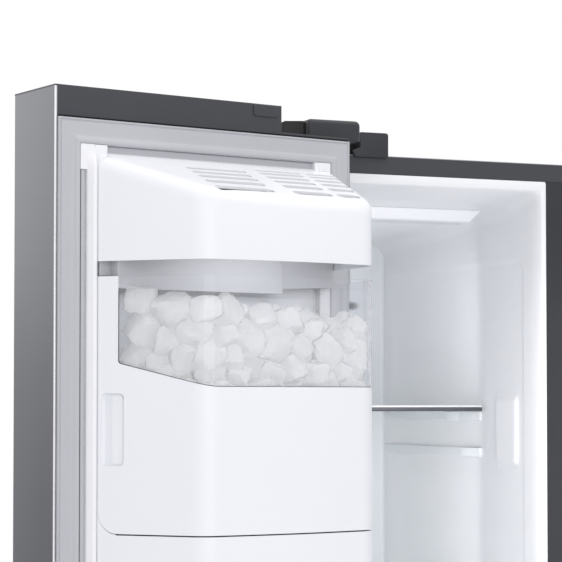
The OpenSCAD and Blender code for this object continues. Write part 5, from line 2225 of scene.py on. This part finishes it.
@dataclass
class Shelving(CabinetPart):
    """The glass shelves with their fronts, and the ribs that carry them."""

    front_y: float = 150.0
    trim_back: float = 158.2
    glass_y: Sequence[float] = (158.6, 465.5)
    rib_y: Sequence[float] = (166.0, 466.0)
    rib_root: float = 4.5
    runner_y0: float = 128.0
    runner_out: float = 26.4
    # The tabs on the ribs: first and last depth, and how far under the shelf
    tabs: Sequence[Sequence[float]] = (
        (162, 207.5, 13.5), (215.5, 256, 14), (162, 207.5, 62.5),
    )
    tab_height: float = 11.5

    def fronts(self) -> None:
        """Makes the rounded aluminium fronts, their caps and the panes' ground edges."""
        front, back = self.front_y, self.trim_back
        trims, strips, panes = Shape(), Shape(), Shape()
        for (x0, x1), shelves in self.bays():
            for z in shelves:
                strips.prism(rounded([
                    (front + 0.4, z + 4.3, 0.4), (back, z + 4.3, 0.4), (back, z + 7, 0.6),
                    (front + 0.4, z + 7, 1.6),
                ], 5), x0 + 3.4, x1 - 3.4, "yz")
                trims.prism(rounded([
                    (front, z - 0.9, 2.4), (back, z - 0.9, 1), (back, z + 4.2, 0.4),
                    (front, z + 4.2, 1.0),
                ]), x0 + 3, x1 - 3, "yz")
                plan = rectangle(x0 + 2.5, self.glass_y[0], x1 - 2.5, self.glass_y[1], 3)
                panes.loft([
                    [(x, y, z + up) for x, y in inset_outline(plan, inset, 4)]
                    for inset, up in ((0.5, 0.3), (0, 0.8), (0, 5.2), (0.5, 5.7))
                ])
        self.make(
            "shelf_trims_look", trims, SHELF_ALUMINIUM, ("shelf_trims",), edging=FINE
        )
        self.make("shelf_trim_caps", strips, FINISHES["rail"], edging=FINE)
        glass = self.make("shelf_glass_look", panes, SHELF_GLASS, ("shelf_glass",))
        glass.visible_shadow = False

    def rib(
        self, shape: Shape, wall: float, side: int, depths: Sequence[float],
        heights: Sequence[float], out: float,
    ) -> None:
        """Adds one rib along a side wall.

        Args:
            shape: Where the rib is added.
            wall: Where the wall is.
            side: 1 for the left wall, -1 for the right one.
            depths: First and last depth.
            heights: Lowest and highest height.
            out: How far it stands out.
        """
        root, (low, high) = wall - side * self.rib_root, heights
        shape.prism(rounded([
            (root, low - 3, 0), (wall + side * (out - 1), low, 1.2),
            (wall + side * out, high, 1.2), (root, high, 0),
        ], 4), depths[0], depths[1], "xz")

    def tab(
        self, shape: Shape, wall: float, side: int, depths: Sequence[float], z0: float
    ) -> None:
        """Adds one tab, which grows out of a rib towards the back.

        Args:
            shape: Where the tab is added.
            wall: Where the wall is.
            side: 1 for the left wall, -1 for the right one.
            depths: First and last depth.
            z0: Its lowest height.
        """
        (first, last), z1 = depths, z0 + self.tab_height
        rings = []
        for y, out in ((first, 0.6), (first + 2, 2.4), (last - 2, 7.6), (last, 7.2)):
            section = rounded([
                (-self.rib_root, z0, 0), (out - 0.5, z0, 0.6), (out, z1, 0.6),
                (-self.rib_root, z1, 0),
            ], 4)
            rings.append([(wall + side * w, y, z) for w, z in section])
        shape.loft(rings)

    def ribs(self) -> None:
        """Forms the ribs under the shelves, their tabs and the drawers' runners."""
        runners = ((122.0, self.step_y - 4), (357.0, self.rib_y[1]))
        shape = Shape()
        for (x0, x1), shelves in self.bays():
            for side, wall in ((1, x0), (-1, x1)):
                for z in shelves:
                    self.rib(shape, wall, side, self.rib_y, (z - 13.5, z - 1.2), 1.6)
                    self.rib(shape, wall, side, self.rib_y, (z - 63, z - 51), 1.4)
                    for first, last, drop in self.tabs:
                        self.tab(shape, wall, side, (first, last), z - drop)
                for z, end in runners:
                    depths, heights = (self.runner_y0, end), (z - 8.5, z - 0.6)
                    self.rib(shape, wall, side, depths, heights, self.runner_out)
        self.make(
            "shelf_rails_look", shape, FINISHES["rail"], ("shelf_rails",),
            edging=Edging(0.8, 2, 35),
        )

    def build(self) -> None:
        """Builds the shelves and their ribs."""
        self.fronts()
        self.ribs()


@dataclass
class HingeCovers(CabinetPart):
    """The covers over both top hinges, drawn for the left one: X across and Z up."""

    base_z: float = 1739.3
    top_z: float = 1767.0
    # The soft cap over the pin, from above, and how it draws in towards its top
    cap: Sequence[Point] = (
        (-452.5, -78, 6), (-383.2, -78, 6), (-383.2, 1.5, 2), (-452.5, 1.5, 3),
    )
    cap_rise: Sequence[Sequence[float]] = (
        (0, 1745.2), (0, 1763.2), (0.5, 1765.4), (1.7, 1767.5), (3.6, 1768.9), (5.6, 1769.4),
    )
    # The front end of the block beside the cap
    block_front: Sequence[Point] = (
        (-357.9, 1736, 1.5), (-312.9, 1736, 1.5), (-312.9, 1767, 3.5), (-351.3, 1767, 2),
        (-351.3, 1747.8, 1), (-361.9, 1743.6, 1),
    )
    # The raised corner behind the cap, and the skirt that runs up to it
    rear: Sequence[Point] = (
        (-455.4, 1746, 0), (-424, 1746, 0), (-424, 1767, 3), (-437, 1774.6, 5),
        (-455.4, 1774.6, 2),
    )
    skirt: Sequence[Point] = (
        (-70, 1745.6), (-70, 1765), (-66, 1767.4), (-10, 1774.6), (-10, 1745.6),
    )

    def stack(
        self, shape: Shape, hand: int, outline: Sequence[Point],
        levels: Sequence[Sequence[float]], plane: str = "xz",
    ) -> None:
        """Adds a form whose ends draw in.

        Args:
            shape: Where the form is added.
            hand: 1 for the left hinge and -1 for the right one.
            outline: Corners (x, y, radius) in the plane.
            levels: How far each section draws in, and where it is.
            plane: "xy" or "xz".
        """
        rings = []
        for inset, at in levels:
            ring = [lift(p, at, plane) for p in inset_outline(outline, inset)]
            rings.append([(hand * x, y, z) for x, y, z in ring])
        shape.loft(rings)

    def build(self) -> None:
        """Moulds the caps and the blocks, and the forms behind them in black that paints the
        shade there.
        """
        low, high = self.base_z, self.top_z
        body = [(-351.4, low, 0), (-312.9, low, 0), (-312.9, high, 3.5), (-351.4, high, 2)]
        rest = [(-454.5, low, 0), (-351.6, low, 0), (-351.6, 1766.8, 0), (-454.5, 1766.8, 3)]
        caps, blocks, backs = Shape(), Shape(), Shape()
        for hand in (1, -1):
            self.stack(caps, hand, self.cap, self.cap_rise, "xy")
            self.stack(
                blocks, hand, self.block_front,
                ((0.9, -5.2), (0.3, -4.9), (0, -4.3), (0, -1.9)),
            )
            self.stack(blocks, hand, body, ((0, -1.8), (0, 102.6), (0.4, 103.6), (1.4, 104)))
            self.stack(backs, hand, rest, ((0, 14), (0, 102.6), (1.4, 104)))
            self.stack(backs, hand, self.rear, ((0.6, -9), (0, -8), (0, 96), (1.4, 98)))
            backs.prism(self.skirt, hand * -455.4, hand * -452.7, "yz")
        # The caps and blocks take the darker copy of the moulding, which is painted shade
        self.make("hinge_covers_look", caps, SHADED_HINGE_ABS, ("hinge_covers",), sharp=30)
        self.make("hinge_cover_blocks", blocks, SHADED_HINGE_ABS, sharp=30)
        # Painted shade: the forms behind the caps are matt black, standing in for the deep
        # shade behind the hinge covers
        self.make("hinge_cover_shaded_backs", backs, SHADE_BLACK, sharp=30)


# -------- the whole

# The frame's nodes that keep their form, and their finishes
PLAIN_PARTS: dict[str, tuple[Finish, Edging]] = {
    "outer_case": (CASE_PAINT, PLAIN),
    "front_frame": (DARK_ENAMEL, FINE),
    "mullion_plate": (MULLION_ENAMEL, FINE),
    "back_panel": (FINISHES["zinc"], FINE),
    "machine_cover": (FINISHES["frame"], FINE),
    "base_frame": (FINISHES["frame"], FINE),
    "toe_grille": (FINISHES["grille"], FINE),
    "levelling_feet": (FINISHES["foot"], FINE),
    "door_hinges": (FINISHES["hinge"], FINE),
    "compressor": (FINISHES["compressor"], PLAIN),
    "condenser": (FINISHES["coil"], PLAIN),
    "evaporator": (FINISHES["fins"], PLAIN),
    "drain_pan": (FINISHES["pan"], FINE),
    "control_box": (FINISHES["box"], FINE),
    "water_valve": (FINISHES["valve"], FINE),
    "fan_motors": (FINISHES["motor"], FINE),
    "evaporator_fan": (FINISHES["white_fan"], FINE),
    "condenser_fan": (FINISHES["black_fan"], FINE),
    "rear_roller_left": (FINISHES["roller"], FINE),
    "rear_roller_right": (FINISHES["roller"], FINE),
    "freezer_drawer_upper": (BIN_STYRENE, SOFT),
    "freezer_drawer_lower": (BIN_STYRENE, SOFT),
    "crisper_upper": (BIN_STYRENE, SOFT),
    "crisper_lower": (BIN_STYRENE, SOFT),
    "freezer_door_foam": (FINISHES["foam"], PLAIN),
    "freezer_door_grip": (DARK_ABS, FINE),
    "freezer_door_bins": (BIN_STYRENE, SOFT),
    "ice_tray": (FINISHES["tray"], FINE),
    "ice_drives": (FINISHES["drive"], FINE),
    "ice_rotor": (FINISHES["tray"], FINE),
    "ice_chute": (FINISHES["drive"], FINE),
    "dispenser_recess": (FINISHES["recess"], FINE),
    "dispenser_paddle": (FINISHES["grille"], FINE),
    "drip_tray": (FINISHES["grille"], FINE),
    "fridge_door_foam": (FINISHES["foam"], PLAIN),
    "fridge_door_grip": (DARK_ABS, FINE),
    "fridge_door_bins": (BIN_STYRENE, SOFT),
}


def main() -> None:
    """Builds the sub-assemblies in order."""
    logging.basicConfig(level=logging.INFO, format="%(message)s")
    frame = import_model()
    Studio().build()
    for node, (finish, edging) in PLAIN_PARTS.items():
        dress(frame, node, finish, edging)
    Door("freezer_door", 394, False).build()
    Door("fridge_door", 512, True).build()
    for name, (walls, shelves) in zip(("freezer_liner", "fridge_liner"), CabinetPart().bays()):
        Tub(name=name, walls=walls, shelves=shelves).build()
    for part in (CabinetFoam(), AirDucts(), CeilingLights(), Shelving(), HingeCovers()):
        part.build()
    for part in (IceMaker(), IceBin(), DispenserHousing()):
        part.build()
    bpy.context.view_layer.update()


if __name__ == "__main__":
    main()
